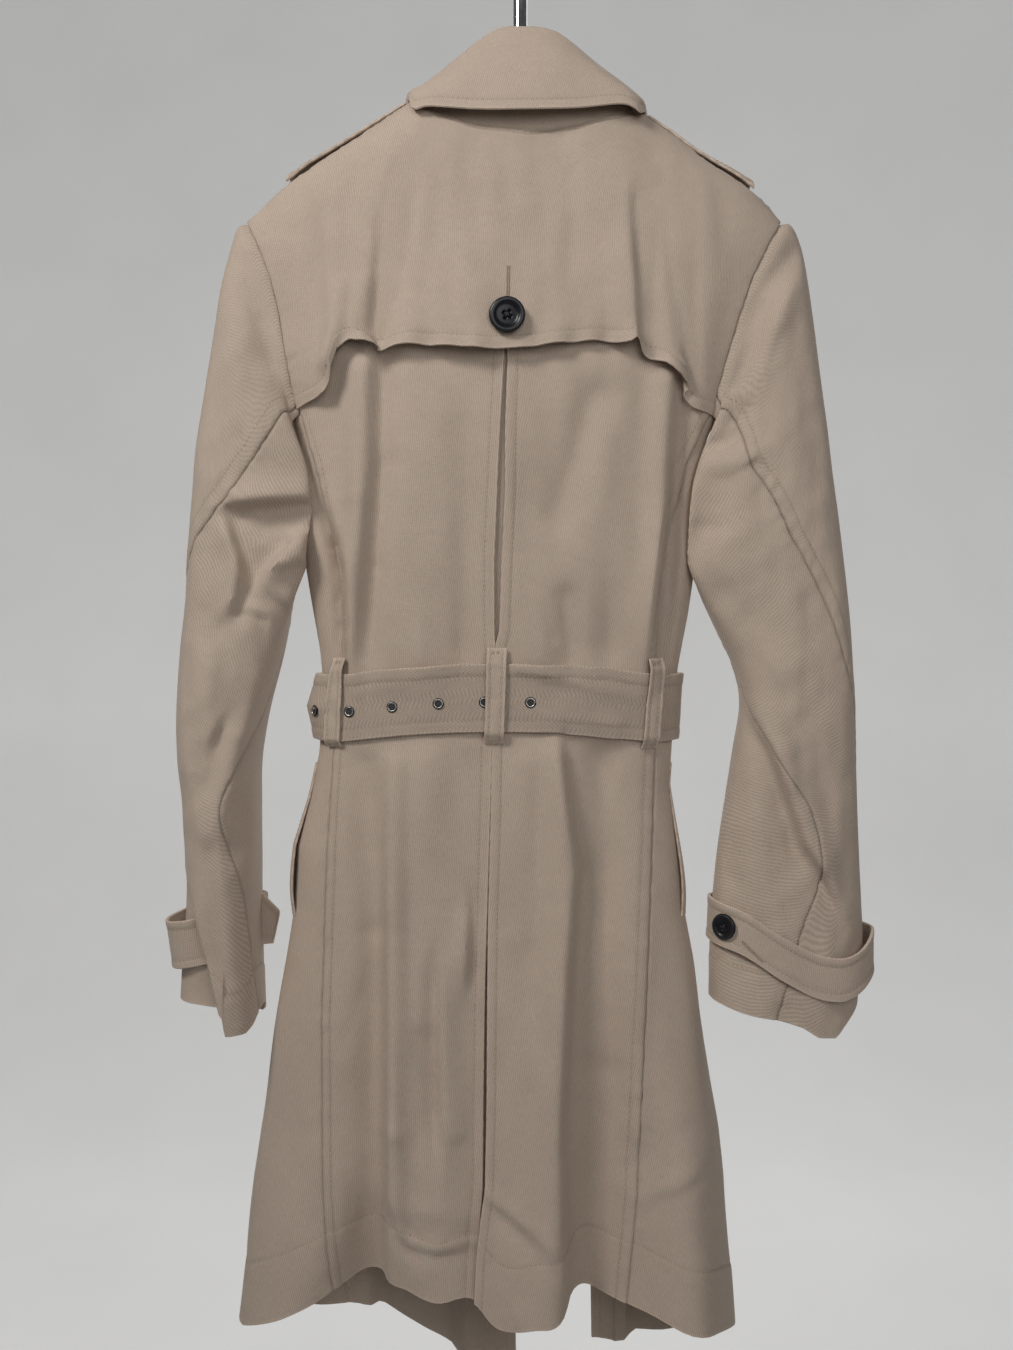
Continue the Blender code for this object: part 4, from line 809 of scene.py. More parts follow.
HEM_STEPS = (0.5, 1.3, 3, 6, 10, 14, 18, 22, 26, 30, 34, 37, 40, 41.6, 42.6, 43.6, 44.8, 46.4, 49)
LOWER_ROWS = stations(PANEL_LENGTH, 3.4, HEM_STEPS)


def main_panel(hand, face, columns):
    """Points and normals of a half of the back or a front, its columns as parts of its width."""
    sign = -1 if hand == "left" else 1
    end_x = float(line(ARMHOLE, hand, SHOULDER))
    inner_edge = CENTRE if face > 0 else FRONT_EDGE
    hem = BACK_HEM if face > 0 else FRONT_HEM
    start_x = float(line(inner_edge, hand, NECK_MIDDLE if face > 0 else FRONT_TOP))
    rows = []
    hem_seam = float(line(PANEL_SEAM, hand, HEM_LEVEL))
    hem_edge = float(line(inner_edge, hand, HEM_LEVEL))
    hem_x = hem_edge + columns * (hem_seam - hem_edge)
    hem_z = read(hem, "height", hem_x)
    for v in LOWER_ROWS:
        z = hem_z + v * (ARMPIT - hem_z)
        edge = line(inner_edge, hand, z)
        seam = line(PANEL_SEAM, hand, z) - sign * SEAM / 2
        rows.append(np.stack((edge + columns * (seam - edge), z), axis=-1))
    top_x = start_x + columns * (end_x - start_x)
    top_z = top_height(top_x, None if face > 0 else start_x)
    for v in UPPER_ROWS:
        z = ARMPIT + v * (top_z - ARMPIT)
        edge = float(line(inner_edge, hand, z[0]))
        seam = float(line(ARMHOLE, hand, z[-1])) - sign * SEAM / 2
        rows.append(np.stack((edge + columns * (seam - edge), z), axis=-1))
    flat = np.array(rows)
    x, z = flat[..., 0], flat[..., 1]
    y = body_depth(x, z, face)
    points = np.stack((x, y, z), axis=-1)
    normals = body_normal(points)
    points[..., 1] -= face * COVER
    if face > 0:
        near = np.exp(-(((x - line(CENTRE, hand, z)) / 26) ** 2)) * ease(-750, -820, z)
        points[..., 1] -= near * VENT_RISE[hand]
    return points, normals


BACK = {}
CENTRE_ROW = 7.0
PRINCESS_ROW = {"left": 6.4, "right": 8.6}
BACK_CUT = {"left": (0.25, 0.90, 0.118), "right": (0.24, 0.90, 0.116)}
for hand, seed in (("left", 3), ("right", 4)):
    side_row = PRINCESS_ROW[hand]
    by_centre = (0.45, 1.1, 2, 3.4, 5, 6.1, 6.7, 7.3, 8, 9.4, 11.4)
    by_seam = (0.45, 1.1, 2, 3.4, 5, *(side_row + near for near in (-0.9, -0.3, 0.4, 1.3, 3)))
    columns = stations(112, 2.8, by_centre, by_seam)
    grid, normals = main_panel(hand, 1, columns)
    BACK[hand] = grid
    worked, tone = sew(
        grid, normals, seed, seams=("last", "high"), rows=(("first", CENTRE_ROW), ("last", side_row)),
        hems=(("low", HEM),), free=("low", "first"),
    )
    panel = cloth("back_cloth_" + hand, worked, normals, tone)
    low_rows = len(LOWER_ROWS)
    side = inset(worked[:low_rows], normals[:low_rows], "last", side_row)
    sewing = stitches(
        "back_stitches_" + hand,
        [inset(worked, normals, "first", CENTRE_ROW, 1, 2), side, inset(worked, normals, "low", HEM, 1, 1)],
        seed,
    )
    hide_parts("back_" + hand)
    wide, long, area = BACK_CUT[hand]


def strip_behind(name, low, high, half, depth, seed):
    """A strip of cloth behind the centre line of the back, painted darker as the shade in the gap over it."""
    heights = np.linspace(low, high, 60)
    centre = (line(CENTRE, "left", heights) + line(CENTRE, "right", heights)) / 2
    parts = np.linspace(-1, 1, 17)
    x = centre[:, None] + half * parts[None, :]
    z = np.broadcast_to(heights[:, None], x.shape)
    points = np.stack((x, body_depth(x, z, 1), z), axis=-1)
    normals = body_normal(points)
    worked, tone = sew(points - normals * depth, normals, seed, free=("low",))
    # Painted shade: the tone is lowered by 0.4 because the strip lies in the shadow of the open pleat and
    # vent.
    return cloth(name, worked, normals, tone - 0.4)


for name, low, high, half, depth, seed in (
    ("pleat", -568, -339, 24, 2.4, 5),
    ("vent", -1012, -765, 22, 4.4, 6),
):
    strip = strip_behind(name + "_underlay_cloth", low, high, half, depth, seed)
    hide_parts(name + "_underlay")

# The sides: a panel of the same twill under each arm, sewn to the back at the princess seam
# and to the front, with the pocket let into its front edge.
SIDE = {}
EDGE_STEPS = (0.45, 1.1, 2, 3.6)
SIDE_CUT = {"left": (0.18, 0.69, 0.060), "right": (0.20, 0.70, 0.067)}


def side_lines(hand, heights, parts):
    """Points of a side panel at heights, at parts of its width from back to front."""
    sign = -1 if hand == "left" else 1
    outline = line(LEFT_OUTLINE if sign < 0 else RIGHT_OUTLINE, "x", heights)
    seam = line(PANEL_SEAM, hand, heights) + sign * SEAM / 2
    swing = np.sin(np.linspace(0, math.pi / 2, 60))
    run = seam[:, None] + (outline - seam)[:, None] * swing[None, :]
    level = np.broadcast_to(heights[:, None], run.shape)
    x = np.concatenate((run, run[:, ::-1][:, 1:]), axis=1)
    y = np.concatenate((body_depth(run, level, 1), body_depth(run, level, -1)[:, ::-1][:, 1:]), axis=1)
    steps = np.hypot(np.diff(x, axis=1, prepend=x[:, :1]), np.diff(y, axis=1, prepend=y[:, :1]))
    length = np.cumsum(steps, axis=1)
    points = np.empty((len(heights), len(parts), 3))
    for k, height in enumerate(heights):
        at = parts * length[k, -1]
        points[k, :, 0] = np.interp(at, length[k], x[k])
        points[k, :, 1] = np.interp(at, length[k], y[k])
        points[k, :, 2] = height
    return points


def side_panel(hand, columns):
    """Points of a side panel, its rows level with those of its neighbours."""
    hem_x = float(line(PANEL_SEAM, hand, HEM_LEVEL))
    hem_ends = (float(read(BACK_HEM, "height", hem_x)), -1048, float(read(FRONT_HEM, "height", hem_x)))
    hem_z = np.interp(columns, (0, 0.45, 1), hem_ends)
    points = np.empty((len(LOWER_ROWS), len(columns), 3))
    for c, part in enumerate(columns):
        heights = hem_z[c] + LOWER_ROWS * (ARMPIT - hem_z[c])
        points[:, c] = side_lines(hand, heights, np.array([part]))[:, 0]
    return points


for hand, seed in (("left", 7), ("right", 8)):
    columns = stations(110, 3.6, EDGE_STEPS, EDGE_STEPS)
    grid = side_panel(hand, columns)
    normals = body_normal(grid)
    SIDE[hand] = grid
    waves = 0.6 * ripples(grid[..., 2], grid[..., 1] + grid[..., 0], seed, 150, 50)
    inner = np.minimum(columns, 1 - columns) * 2
    waves = waves * inner[None, :] * (0.4 + 0.6 * ease(-600, -700, grid[..., 2]))
    moved = grid + normals * waves[..., None]
    worked, tone = sew(moved, normals, seed, seams=("first", "last"), hems=(("low", HEM),), free=("low",))
    panel = cloth("side_cloth_" + hand, worked, normals, tone)
    sewing = stitches("side_stitches_" + hand, [inset(worked, normals, "low", HEM, 1, 1)], seed)
    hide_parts("side_" + hand)
    wide, long, area = SIDE_CUT[hand]

# The fronts: two panels of the same twill, sewn to the sides and the shoulders. They hang open
# towards the wall, a little apart. Each has a stitched edge and a turned hem, and its top folds
# back as a lapel.
FRONT = {}
FRONT_CUT = {"left": (0.21, 0.95, 0.122), "right": (0.15, 0.93, 0.054)}
LAPEL = table(("height", "width"), [
    (-520, 3), (-460, 24), (-380, 48), (-300, 66), (-262, 72), (-240, 52),
])
for hand, sign, seed in (("left", -1, 9), ("right", 1, 10)):
    columns = stations(115, 4.2, (*EDGE_STEPS, 6, 7, 8, 10), EDGE_STEPS)
    grid, normals = main_panel(hand, -1, columns)
    FRONT[hand] = grid
    worked, tone = sew(
        grid, normals, seed, seams=("last", "high"), rows=(("first", CENTRE_ROW),), hems=(("low", HEM),),
        free=("low", "first"),
    )
    panel = cloth("front_cloth_" + hand, worked, normals, tone)
    sewing = stitches(
        "front_stitches_" + hand,
        [inset(worked, normals, "first", CENTRE_ROW, 1, 2), inset(worked, normals, "low", HEM, 1, 1)],
        seed,
    )
    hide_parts("front_" + hand)
    wide, long, area = FRONT_CUT[hand]

    heights = np.linspace(-516, -240, 80)
    start = line(FRONT_EDGE, hand, heights) + sign * 0.4
    wide = read(LAPEL, "width", heights)
    parts = stations(60, 3.2, (0.5, 1.4), (0.5, 1.4, 4, 6, 7, 8))
    x = start[:, None] + sign * wide[:, None] * parts[None, :]
    z = np.broadcast_to(heights[:, None], x.shape)
    points = np.stack((x, body_depth(x, z, -1) + COVER, z), axis=-1)
    normals = body_normal(points)
    rise = 0.8 + 2.4 * np.sin(np.clip(parts, 0, 1) * math.pi / 2)[None, :] * ease(-500, -420, z)
    lapel_grid = points + normals * (rise + CLOTH)[..., None]
    worked, tone = sew(lapel_grid, normals, seed + 20, rows=(("last", 6.5),), free=("first", "last", "high"))
    lapel = cloth("lapel_cloth_" + hand, worked, normals, tone)
    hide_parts("lapel_" + hand)

# The storm flap: a loose second layer over the upper back, caught in the neck, shoulder and
# armhole seams. Its turned edge is stitched, and a button holds its middle to the back.
FLAP_EDGE = table(("x", "height"), [
    (-163, -381), (-156, -378.5), (-142, -373.5), (-135.5, -368), (-132.5, -360), (-130, -346),
    (-126, -340), (-113, -341), (-104, -342), (-88, -342), (-50, -344.5), (-9, -345), (26, -341),
    (58, -338.5), (76, -340), (82.5, -337.5), (85.5, -345), (90, -349), (98, -351.5), (105, -357.5),
    (115, -370), (125.6, -380), (139, -385),
])
FLAP_FOLDS = [
    (-84, -222, -90, -262, 11, 11, -3, -4), (-90, -262, -98, -330, 11, 11, -4, -6),
    (-112, -300, -118, -345, 9, 8, 2, 5), (-128, -300, -134, -352, 8, 7, 2, 8),
    (74, -215, 77, -340, 11, 11, 1, 1.5), (94, -235, 97, -352, 9, 8, -1, -2.4),
    (112, -225, 114, -300, 10, 9, -3, -5), (114, -300, 120, -366, 9, 8, -4, -3),
    (-40, -260, -44, -345, 24, 24, 0, 3), (40, -260, 44, -345, 24, 22, 0, -3),
]
FLAP_CREASES = [
    (-80, -236, -92, -300, 5, 6, -1.6, -2.4), (-92, -300, -104, -330, 6, 6, -2.4, -2.0),
    (-112, -318, -116, -345, 4, 4, -1.0, -2.6), (92, -270, 95, -350, 5, 5, -1.0, -1.6),
    (120, -240, 122, -370, 7, 6, -0.8, -2.0), (-30, -316, -34, -345, 6, 5, 0, 1.6),
    (24, -300, 30, -342, 7, 6, 0, 1.8), (58, -306, 60, -340, 6, 6, 0, -1.6),
    (-60, -312, -64, -344, 6, 6, 0, -1.5),
]
FLAP_LAPS = [
    [(84, -352, 9, 2.4), (82.5, -338, 9, 2.8), (81, -290, 9, 3.2), (78.6, -235, 9, 1)],
    [(-106, -340, 10, 1.8), (-104, -300, 10, 2.4), (-102, -256, 10, 0.5)],
    [(119, -372, 9, 1.8), (118.5, -350, 9, 2.2), (115.3, -290, 9, 0.8)],
]
FLAP_ROW = 8.5
FLAP_FOOT = (-162.5, 140)
FLAP_TOP = (-197, 188)


def flap_points(parts, levels):
    """Points of the flap from its edge, level 0, to the neck and shoulder seams, level 1."""
    bottom_x = FLAP_FOOT[0] + parts * (FLAP_FOOT[1] - FLAP_FOOT[0])
    bottom_z = read(FLAP_EDGE, "height", bottom_x)
    top_x = FLAP_TOP[0] + parts * (FLAP_TOP[1] - FLAP_TOP[0])
    top_z = top_height(top_x) - 3.5
    v = levels[:, None]
    z = bottom_z[None, :] + v * (top_z - bottom_z)[None, :]
    left = line(ARMHOLE, "left", z[:, :1]) + 2 * SEAM
    right = line(ARMHOLE, "right", z[:, -1:]) - 2 * SEAM
    x = left + parts[None, :] * (right - left)
    from_side = np.minimum(parts, 1 - parts)[None, :]
    inner = ease(0, 0.1, from_side)
    hang = (1 - v) ** 1.5 * inner
    base = np.stack((x, body_depth(x, z, 1), z), axis=-1)
    normal = body_normal(base)
    away = (folds(x, z, FLAP_FOLDS) + laps(x, z, FLAP_LAPS)) * ease(0, 0.08, from_side)
    fine = folds(x, z, FLAP_CREASES, CRISP) * inner * ease(0, 0.25, 1 - v)
    waves = 0.5 * ripples(x, z, 51, 60, 120) + 0.22 * ripples(x, z, 52, 22, 40)
    waves = waves * inner * ease(0, 0.3, 1 - v)
    curl = 0.9 * np.exp(-((v * 160 / 9) ** 2)) * ripples(x, z * 0, 53, 34, 60) * inner
    out = 1.8 + 0.8 * inner + hang * 7.5 + np.maximum(away + fine + waves + curl, 0.3 - hang * 6.5)
    return base + normal * out[..., None], normal


by_edge = (0.5, 1.2, 2.4, 4.2, 6.2, 7.6, 8.4, 9.2, 10.6, 13)
levels = stations(170, 3.0, by_edge, (0.4, 0.9, 1.6, 2.4, 3.4, 4.6, 6, 8))
parts = stations(330, 2.6, (0.5, 1.2, 2.4), (0.5, 1.2, 2.4))
grid, flap_normals = flap_points(parts, levels)
worked, tone = sew(
    grid, flap_normals, 13, seams=("first", "last", "high"), rows=(("low", FLAP_ROW),), free=("low",),
    gentle=("first", "last"),
)
FLAP = worked
flap = cloth("storm_flap_cloth", worked, flap_normals, tone, 1.6)
sewing = stitches("storm_flap_stitches", [inset(worked, flap_normals, "low", FLAP_ROW, 1, 1)], 13)
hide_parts("storm_flap")

# Buttons: pressed from dark navy plastic, with a raised rim, a dished middle and four holes,
# sewn on through the holes with dark thread. The largest closes the flap.
# Distance from the middle and height of a button's side, then its holes, in parts of its radius.
BUTTON_SHAPE = [
    (0.00, 0.150), (0.30, 0.150), (0.52, 0.165), (0.62, 0.20), (0.70, 0.255), (0.78, 0.285), (0.86, 0.29),
    (0.93, 0.262), (0.98, 0.20), (1.0, 0.13), (0.985, 0.06), (0.93, 0.012), (0.86, 0.0),
]
HOLE_AWAY, HOLE_WIDE, HOLE_DEEP = 0.185, 0.085, 0.13
STRAND = 0.24


def button_plastic():
    """Navy plastic with a soft shine, faint swirls and a painted highlight that lightens the rim's top."""
    material, tree, shader = nodes_of("navy_button")
    place = spot_on(tree)
    swirl = noise(tree, place, 240.0, 4.0, Distortion=1.5)
    fine = noise(tree, place, 1500.0, 2.0)
    colour = mixed(tree, swirl, (0.0040, 0.0044, 0.0060, 1), (0.013, 0.014, 0.019, 1))
    tone = add(tree, "ShaderNodeAttribute", {"attribute_name": "tone"}).outputs["Fac"]
    settle(tree, shader, {
        # Painted highlight: the tone lightens the colour on the rim's top.
        "Base Color": mixed(tree, sum_of(tree, "MULTIPLY", tone, 0.5), colour, (0.05, 0.052, 0.058, 1)),
        "Roughness": sum_of(tree, "MULTIPLY_ADD", fine, 0.2, 0.22),
        "Specular IOR Level": 0.32,
        "Normal": raised(tree, 0.2, 0.0002, swirl),
    })
    return material


BUTTON_PLASTIC = button_plastic()
DARK_THREAD = twisted("dark_thread", (0.012, 0.012, 0.016, 1), (0.05, 0.048, 0.05, 1), 0.7, 0.6)


def axes(out):
    """Two directions across an axis."""
    out = np.array(out, float) / np.linalg.norm(out)
    side = np.cross(out, (0, 0, 1.0) if abs(out[2]) < 0.9 else (1.0, 0, 0))
    side = side / np.linalg.norm(side)
    return out, side, np.cross(out, side)


def circle(middle, side, other, radius, count):
    """Points round a middle, across two directions."""
    turns = [2 * math.pi * i / count for i in range(count)]
    return [middle + (side * math.cos(a) + other * math.sin(a)) * radius for a in turns]


def button(name, node, place, out, radius, lift, turn=0.0, sides=72):
    """A sewn button: the disc with its holes, and the threads that cross in them."""
    out, side, other = axes(out)
    place = np.array(place, float)
    profile = []
    for (r1, h1), (r2, h2) in zip(BUTTON_SHAPE[:-1], BUTTON_SHAPE[1:]):
        steps = 6 if r2 <= 0.52 and r2 > r1 else 3
        for t in np.arange(steps) / steps:
            profile.append((r1 + (r2 - r1) * t, h1 + (h2 - h1) * t))
    profile.append(BUTTON_SHAPE[-1])
    profile = np.array(profile[1:])
    points = [place + out * (lift + BUTTON_SHAPE[0][1] * radius)]
    tones = [0.0]
    holes = [turn + math.pi / 4 + i * math.pi / 2 for i in range(4)]
    for r, h in profile:
        for i in range(sides):
            a = 2 * math.pi * i / sides
            u, w = r * math.cos(a), r * math.sin(a)
            deep = 0.0
            if r < 0.5 and h > 0.1:
                for b in holes:
                    gap = math.hypot(u - HOLE_AWAY * math.cos(b), w - HOLE_AWAY * math.sin(b))
                    deep = max(deep, 1 / (1 + (gap / HOLE_WIDE) ** 6))
            height = lift + (h - HOLE_DEEP * deep) * radius
            points.append(place + out * height + (side * u + other * w) * radius)
            # Painted highlight round the rim's top; the holes get a lower tone for painted shade, which the
            # clamped colour mix leaves as the plain colour.
            tones.append(float(np.exp(-(((r - 0.86) / 0.07) ** 2)) * (h > 0.2) - 0.9 * deep))
    faces = [(0, 1 + i, 1 + (i + 1) % sides) for i in range(sides)]
    for k in range(len(profile) - 1):
        for i in range(sides):
            a, b = 1 + k * sides + i, 1 + k * sides + (i + 1) % sides
            faces.append((a, a + sides, b + sides, b))
    last = 1 + (len(profile) - 1) * sides
    faces.append(tuple(range(last, last + sides))[::-1])
    disc = mesh_piece(name + "_disc", points, faces, BUTTON_PLASTIC, 0.8, tone=tones)
    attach(disc, "root")
    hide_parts(node)

    strands = []
    top = lift + (BUTTON_SHAPE[0][1] + 0.012) * radius
    for pair in ((0, 2), (1, 3)):
        for shift in (-0.028, 0.0, 0.028):
            first, second = [HOLE_AWAY * np.array((math.cos(holes[i]), math.sin(holes[i]))) for i in pair]
            lean = np.array((-first[1], first[0])) / np.linalg.norm(first) * shift
            run = []
            for t in np.linspace(0, 1, 9):
                flat = first * (1 - t) + second * t + lean
                bow = top + (0.05 * math.sin(math.pi * t) - 0.1 * (abs(2 * t - 1) ** 8)) * radius
                run.append(place + out * bow + (side * flat[0] + other * flat[1]) * radius)
            strands.append(np.array(run))
    points = []
    faces = []
    for run in strands:
        base = len(points)
        along = np.gradient(run, axis=0)
        for k in range(len(run)):
            across_it = np.cross(along[k], out)
            points.extend(circle(run[k], across_it / np.linalg.norm(across_it), out, STRAND, 6))
        faces += ring_faces(len(run), 6, base)
    thread = mesh_piece(name + "_thread", points, faces, DARK_THREAD, 1.2)
    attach(thread, "root")


BACK_BUTTON_X, BACK_BUTTON_Z, BACK_BUTTON = -9.6, -322.5, 12.8
beside = np.hypot(FLAP[..., 0] - BACK_BUTTON_X, FLAP[..., 2] - BACK_BUTTON_Z) < 22
seat = (BACK_BUTTON_X, FLAP[..., 1][beside].min(), BACK_BUTTON_Z)
button("back_button", "back_button", seat, (0, -1, 0), BACK_BUTTON, 0.1, 0.2)

BUTTONHOLE_WIDE = 2.6


def buttonhole(name, grid, normals, top, foot, wide=BUTTONHOLE_WIDE):
    """A worked buttonhole: two close rows of thread along a slit."""
    spots = grid.reshape(-1, 3)
    outs = normals.reshape(-1, 3)
    path = []
    out = []
    for t in np.linspace(0, 1, 24):
        x, z = np.array(top) * (1 - t) + np.array(foot) * t
        nearest = np.argsort(np.hypot(spots[:, 0] - x, spots[:, 2] - z) + 1e3 * (outs[:, 1] > 0))[:4]
        path.append((x, spots[nearest, 1].mean(), z))
        out.append(outs[nearest].mean(axis=0))
    path, out = np.array(path), np.array(out)
    along = np.gradient(path, axis=0)
    side = unit(np.cross(along, out))
    far = along_it(path)
    points = []
    faces = []
    for at in np.arange(0, far[-1], 0.62):
        middle, over, across_it, run = [at_place(at, far, values) for values in (path, out, side, along)]
        run = run / np.linalg.norm(run)
        for hand in (-1, 1):
            base = len(points)
            for part, rise in ((0.12, -0.1), (0.3, 0.32), (0.7, 0.36), (1.0, -0.1)):
                spot = middle + across_it * hand * wide / 2 * part + over * rise
                points.extend((spot - run * 0.26, spot + over * 0.22, spot + run * 0.26))
            faces += ring_faces(4, 3, base)
    piece = mesh_piece(name, points, faces, COTTON, 1.2)
    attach(piece, "root")


buttonhole("back_buttonhole", FLAP, flap_normals, (-8.6, -286), (-9.2, -309))

# The collar: a stand sewn into the neck seam, and a fall that turns down over it with a
# stitched edge. The hook holds the middle of its back up in a peak.
COLLAR_ROW = 7.0
COLLAR_COLUMNS = ("row", *(part + axis for part in ("neck", "fold", "edge") for axis in ("_x", "_y", "_z")))
COLLAR = table(COLLAR_COLUMNS, [
    (0, -61, -30.5, -192.5, -51, -28.5, -188, -82, -26, -206),
    (1, -73, -36, -169, -66, -34, -160, -84, -30, -183),
    (1.5, -77, -44, -160.5, -74, -46, -152.5, -85, -45, -160.5),
    (2, -77.5, -60, -157, -73, -58, -149.5, -82, -62, -156.5),
    (2.5, -75, -73, -160, -70, -66, -149.5, -80, -84, -161),
    (3, -69, -83, -164.5, -63, -72, -147, -77, -93, -171),
    (4, -50, -88.5, -175.5, -44, -77, -131, -64, -99, -172.5),
    (5, -24, -91.5, -182.6, -18, -79, -112, -30, -103, -176.5),
    (6, 4, -92, -186, 1, -80, -109.5, 4, -105.5, -177.5),
    (7, 34, -91.7, -182.6, 25, -79, -113, 40, -103, -175.5),
    (8, 60, -88, -175.6, 52, -77, -134, 73, -99, -171),
    (9, 79, -80.5, -168.2, 72, -71, -149, 87, -92, -174),
    (9.5, 84.5, -72, -165.8, 78, -65, -153, 90, -80, -167.5),
    (10, 86.5, -60, -164, 82, -57, -155.5, 92, -62, -164),
    (10.5, 85.5, -46, -167, 82, -46, -159, 95, -45, -167.5),
    (11, 80, -37, -177, 73, -35, -168, 94, -30, -190),
    (12, 69, -31.5, -195.5, 59, -29, -191, 90, -27, -212),
])


def collar_line(name, rows):
    """The collar's neck seam, its fold or its edge, at rows of its table."""
    return np.stack([read(COLLAR, name + axis, rows) for axis in ("_x", "_y", "_z")], axis=-1)


rows = np.linspace(0, 12, 200)
neck = collar_line("neck", rows)
fold = collar_line("fold", rows)
edge = collar_line("edge", rows)
rise = unit(fold - neck)
outward = unit(np.cross(np.gradient(fold, axis=0), rise))
lowered = 2.0 + 1.2 * ease(3, 4.2, np.abs(rows - 6))
foot = neck - rise * 1.6 - outward * 0.5
head = fold - rise * lowered[:, None]
stand_grid = np.array([foot + (head - foot) * v for v in np.linspace(0, 1, 26)])
stand_out = np.broadcast_to(outward, stand_grid.shape)
worked, tone = sew(stand_grid, stand_out, 15, seams=("low",))
stand = cloth("collar_stand_cloth", worked, stand_out, tone)
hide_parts("collar_stand")

crest = fold + rise * 0.7
shoulder = fold + outward * 5 + rise * 1.5
turned_down = shoulder - rise * 3 + outward
BENT = 0.38
straight = stations(52, 1.7, (), (0.4, 1.0, 2, 3.6, 5.4, 6.6, 7.2, 8.4, 10))
down = np.concatenate((np.linspace(0, BENT, 12)[:-1], BENT + (1 - BENT) * straight))
fall_grid = []
for v in down:
    bend = min(v / BENT, 1.0)
    near = crest * (1 - bend) ** 2 + 2 * shoulder * bend * (1 - bend)
    near = near + turned_down * bend**2
    drop = max((v - BENT) / (1 - BENT), 0.0)
    wave = 0.5 * ripples(rows, rows * 0 + drop * 3, 61, 2.6, 4)
    wave += 0.9 * np.exp(-(((rows - 4.6) / 0.5) ** 2))
    wave -= 0.9 * np.exp(-(((rows - 7.3) / 0.4) ** 2))
    bulge = outward * (4 * math.sin(math.pi * drop) + wave * math.sin(math.pi * min(drop * 1.1, 1)))[:, None]
    fall_grid.append(near + (edge - turned_down) * drop + bulge)
fall_grid = np.array(fall_grid)
fall_normal = unit(np.cross(np.gradient(fall_grid, axis=1), np.gradient(fall_grid, axis=0)))
fall_normal = fall_normal * np.sign((fall_normal * outward).sum())
worked, tone = sew(fall_grid, fall_normal, 16, rows=(("high", COLLAR_ROW),), free=("high", "first", "last"))
fall = cloth("collar_fall_cloth", worked, fall_normal, tone, 1.8, turn=-1.0)
sewing = stitches("collar_stitches", [inset(worked, fall_normal, "high", COLLAR_ROW, 2, 2)], 16)
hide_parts("collar_fall")

# The neck loop: a narrow strip of folded twill sewn into the stand by its ends. It hangs in
# the hook and carries the coat.
LOOP_HALF = [
    (15.5, -84.6, -174), (13.5, -75, -168), (10.5, -62, -161), (7.8, -51, -154.2), (4.7, -48.2, -148.2),
]
LOOP_WIDE = 7.0
knots = np.array(LOOP_HALF + [(0, -48, -145.7)] + [(-x, y, z) for x, y, z in LOOP_HALF[::-1]], float)
order = np.arange(len(knots), dtype=float)
loop_table = {"columns": ("row", "x", "y", "z"), "rows": np.column_stack((order, knots))}
rows = np.linspace(0, 10, 61)
loop_line = np.stack([read(loop_table, axis, rows) for axis in "xyz"], axis=-1)
broad = np.array([0, 1.0, 0])
loop_out = unit(np.cross(np.gradient(loop_line, axis=0), broad))
loop_out = loop_out * np.sign(loop_out[30, 2])
places = np.linspace(-LOOP_WIDE / 2, LOOP_WIDE / 2, 11)
loop_grid = np.stack([loop_line + broad * at for at in places], axis=1)
loop_normals = np.repeat(loop_out[:, None], len(places), axis=1)
round_over = -0.25 * (places / (LOOP_WIDE / 2)) ** 4
loop_grid = loop_grid + loop_normals * round_over[None, :, None]
loop = cloth("neck_loop_cloth", loop_grid, loop_normals, None, 1.2)
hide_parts("neck_loop")

# Epaulettes: straps of two layers that lie over the shoulder seams, stitched round their
# edges, with their outer ends standing up beside the sleeves.
STRAP_CLOTH = 2.2
EPAULETTE_REAR, EPAULETTE_FRONT = -75, -45
EPAULETTE_ROWS = (("high", 5.0), ("first", 4.0), ("last", 4.0))


def shoulder_top(x, y):
    """Height of the body's surface under a point of the shoulder."""
    low = np.full(np.shape(x), -300.0)
    high = np.full(np.shape(x), -140.0)
    for _ in range(40):
        middle = (low + high) / 2
        inside = outside(x, y, middle) < 0
        low = np.where(inside, middle, low)
        high = np.where(inside, high, middle)
    return (low + high) / 2


for hand, inner_x, outer_x, seed in (("left", -84, -170, 17), ("right", 94, 170, 18)):
    out = stations(78, 2.4, (0.5, 1.2, 2.4), (0.5, 1.2, 2.4, 4, 5.4, 6.2))
    rear = 1 - stations(30, 2, (0.5, 1.2, 2.4, 3.6), (0.5, 1.2, 2.4, 3.6))
    deep = EPAULETTE_FRONT + (EPAULETTE_REAR - EPAULETTE_FRONT) * rear
    x, y = np.meshgrid(inner_x + out * (outer_x - inner_x), deep, indexing="ij")
    z = shoulder_top(x, y) + STRAP_CLOTH + 0.9 + (2.4 + 2.4 * out[:, None]) * rear[None, :]
    z = z + 3.6 * out[:, None] ** 1.5
    z = z + 0.5 * ripples(x, y, seed, 40, 30) * out[:, None]
    grid = np.stack((x, y, z), axis=-1)
    normals = surface_normal(grid, (0, 0, 1))
    worked, tone = sew(grid, normals, seed, rows=EPAULETTE_ROWS, free=("high", "first", "last"))
    strap = cloth("epaulette_cloth_" + hand, worked, normals, tone, STRAP_CLOTH)
    sewing = stitches(
        "epaulette_stitches_" + hand,
        [inset(worked, normals, side, gap, 4, 4) for side, gap in EPAULETTE_ROWS],
        seed,
    )
    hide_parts("epaulette_" + hand)

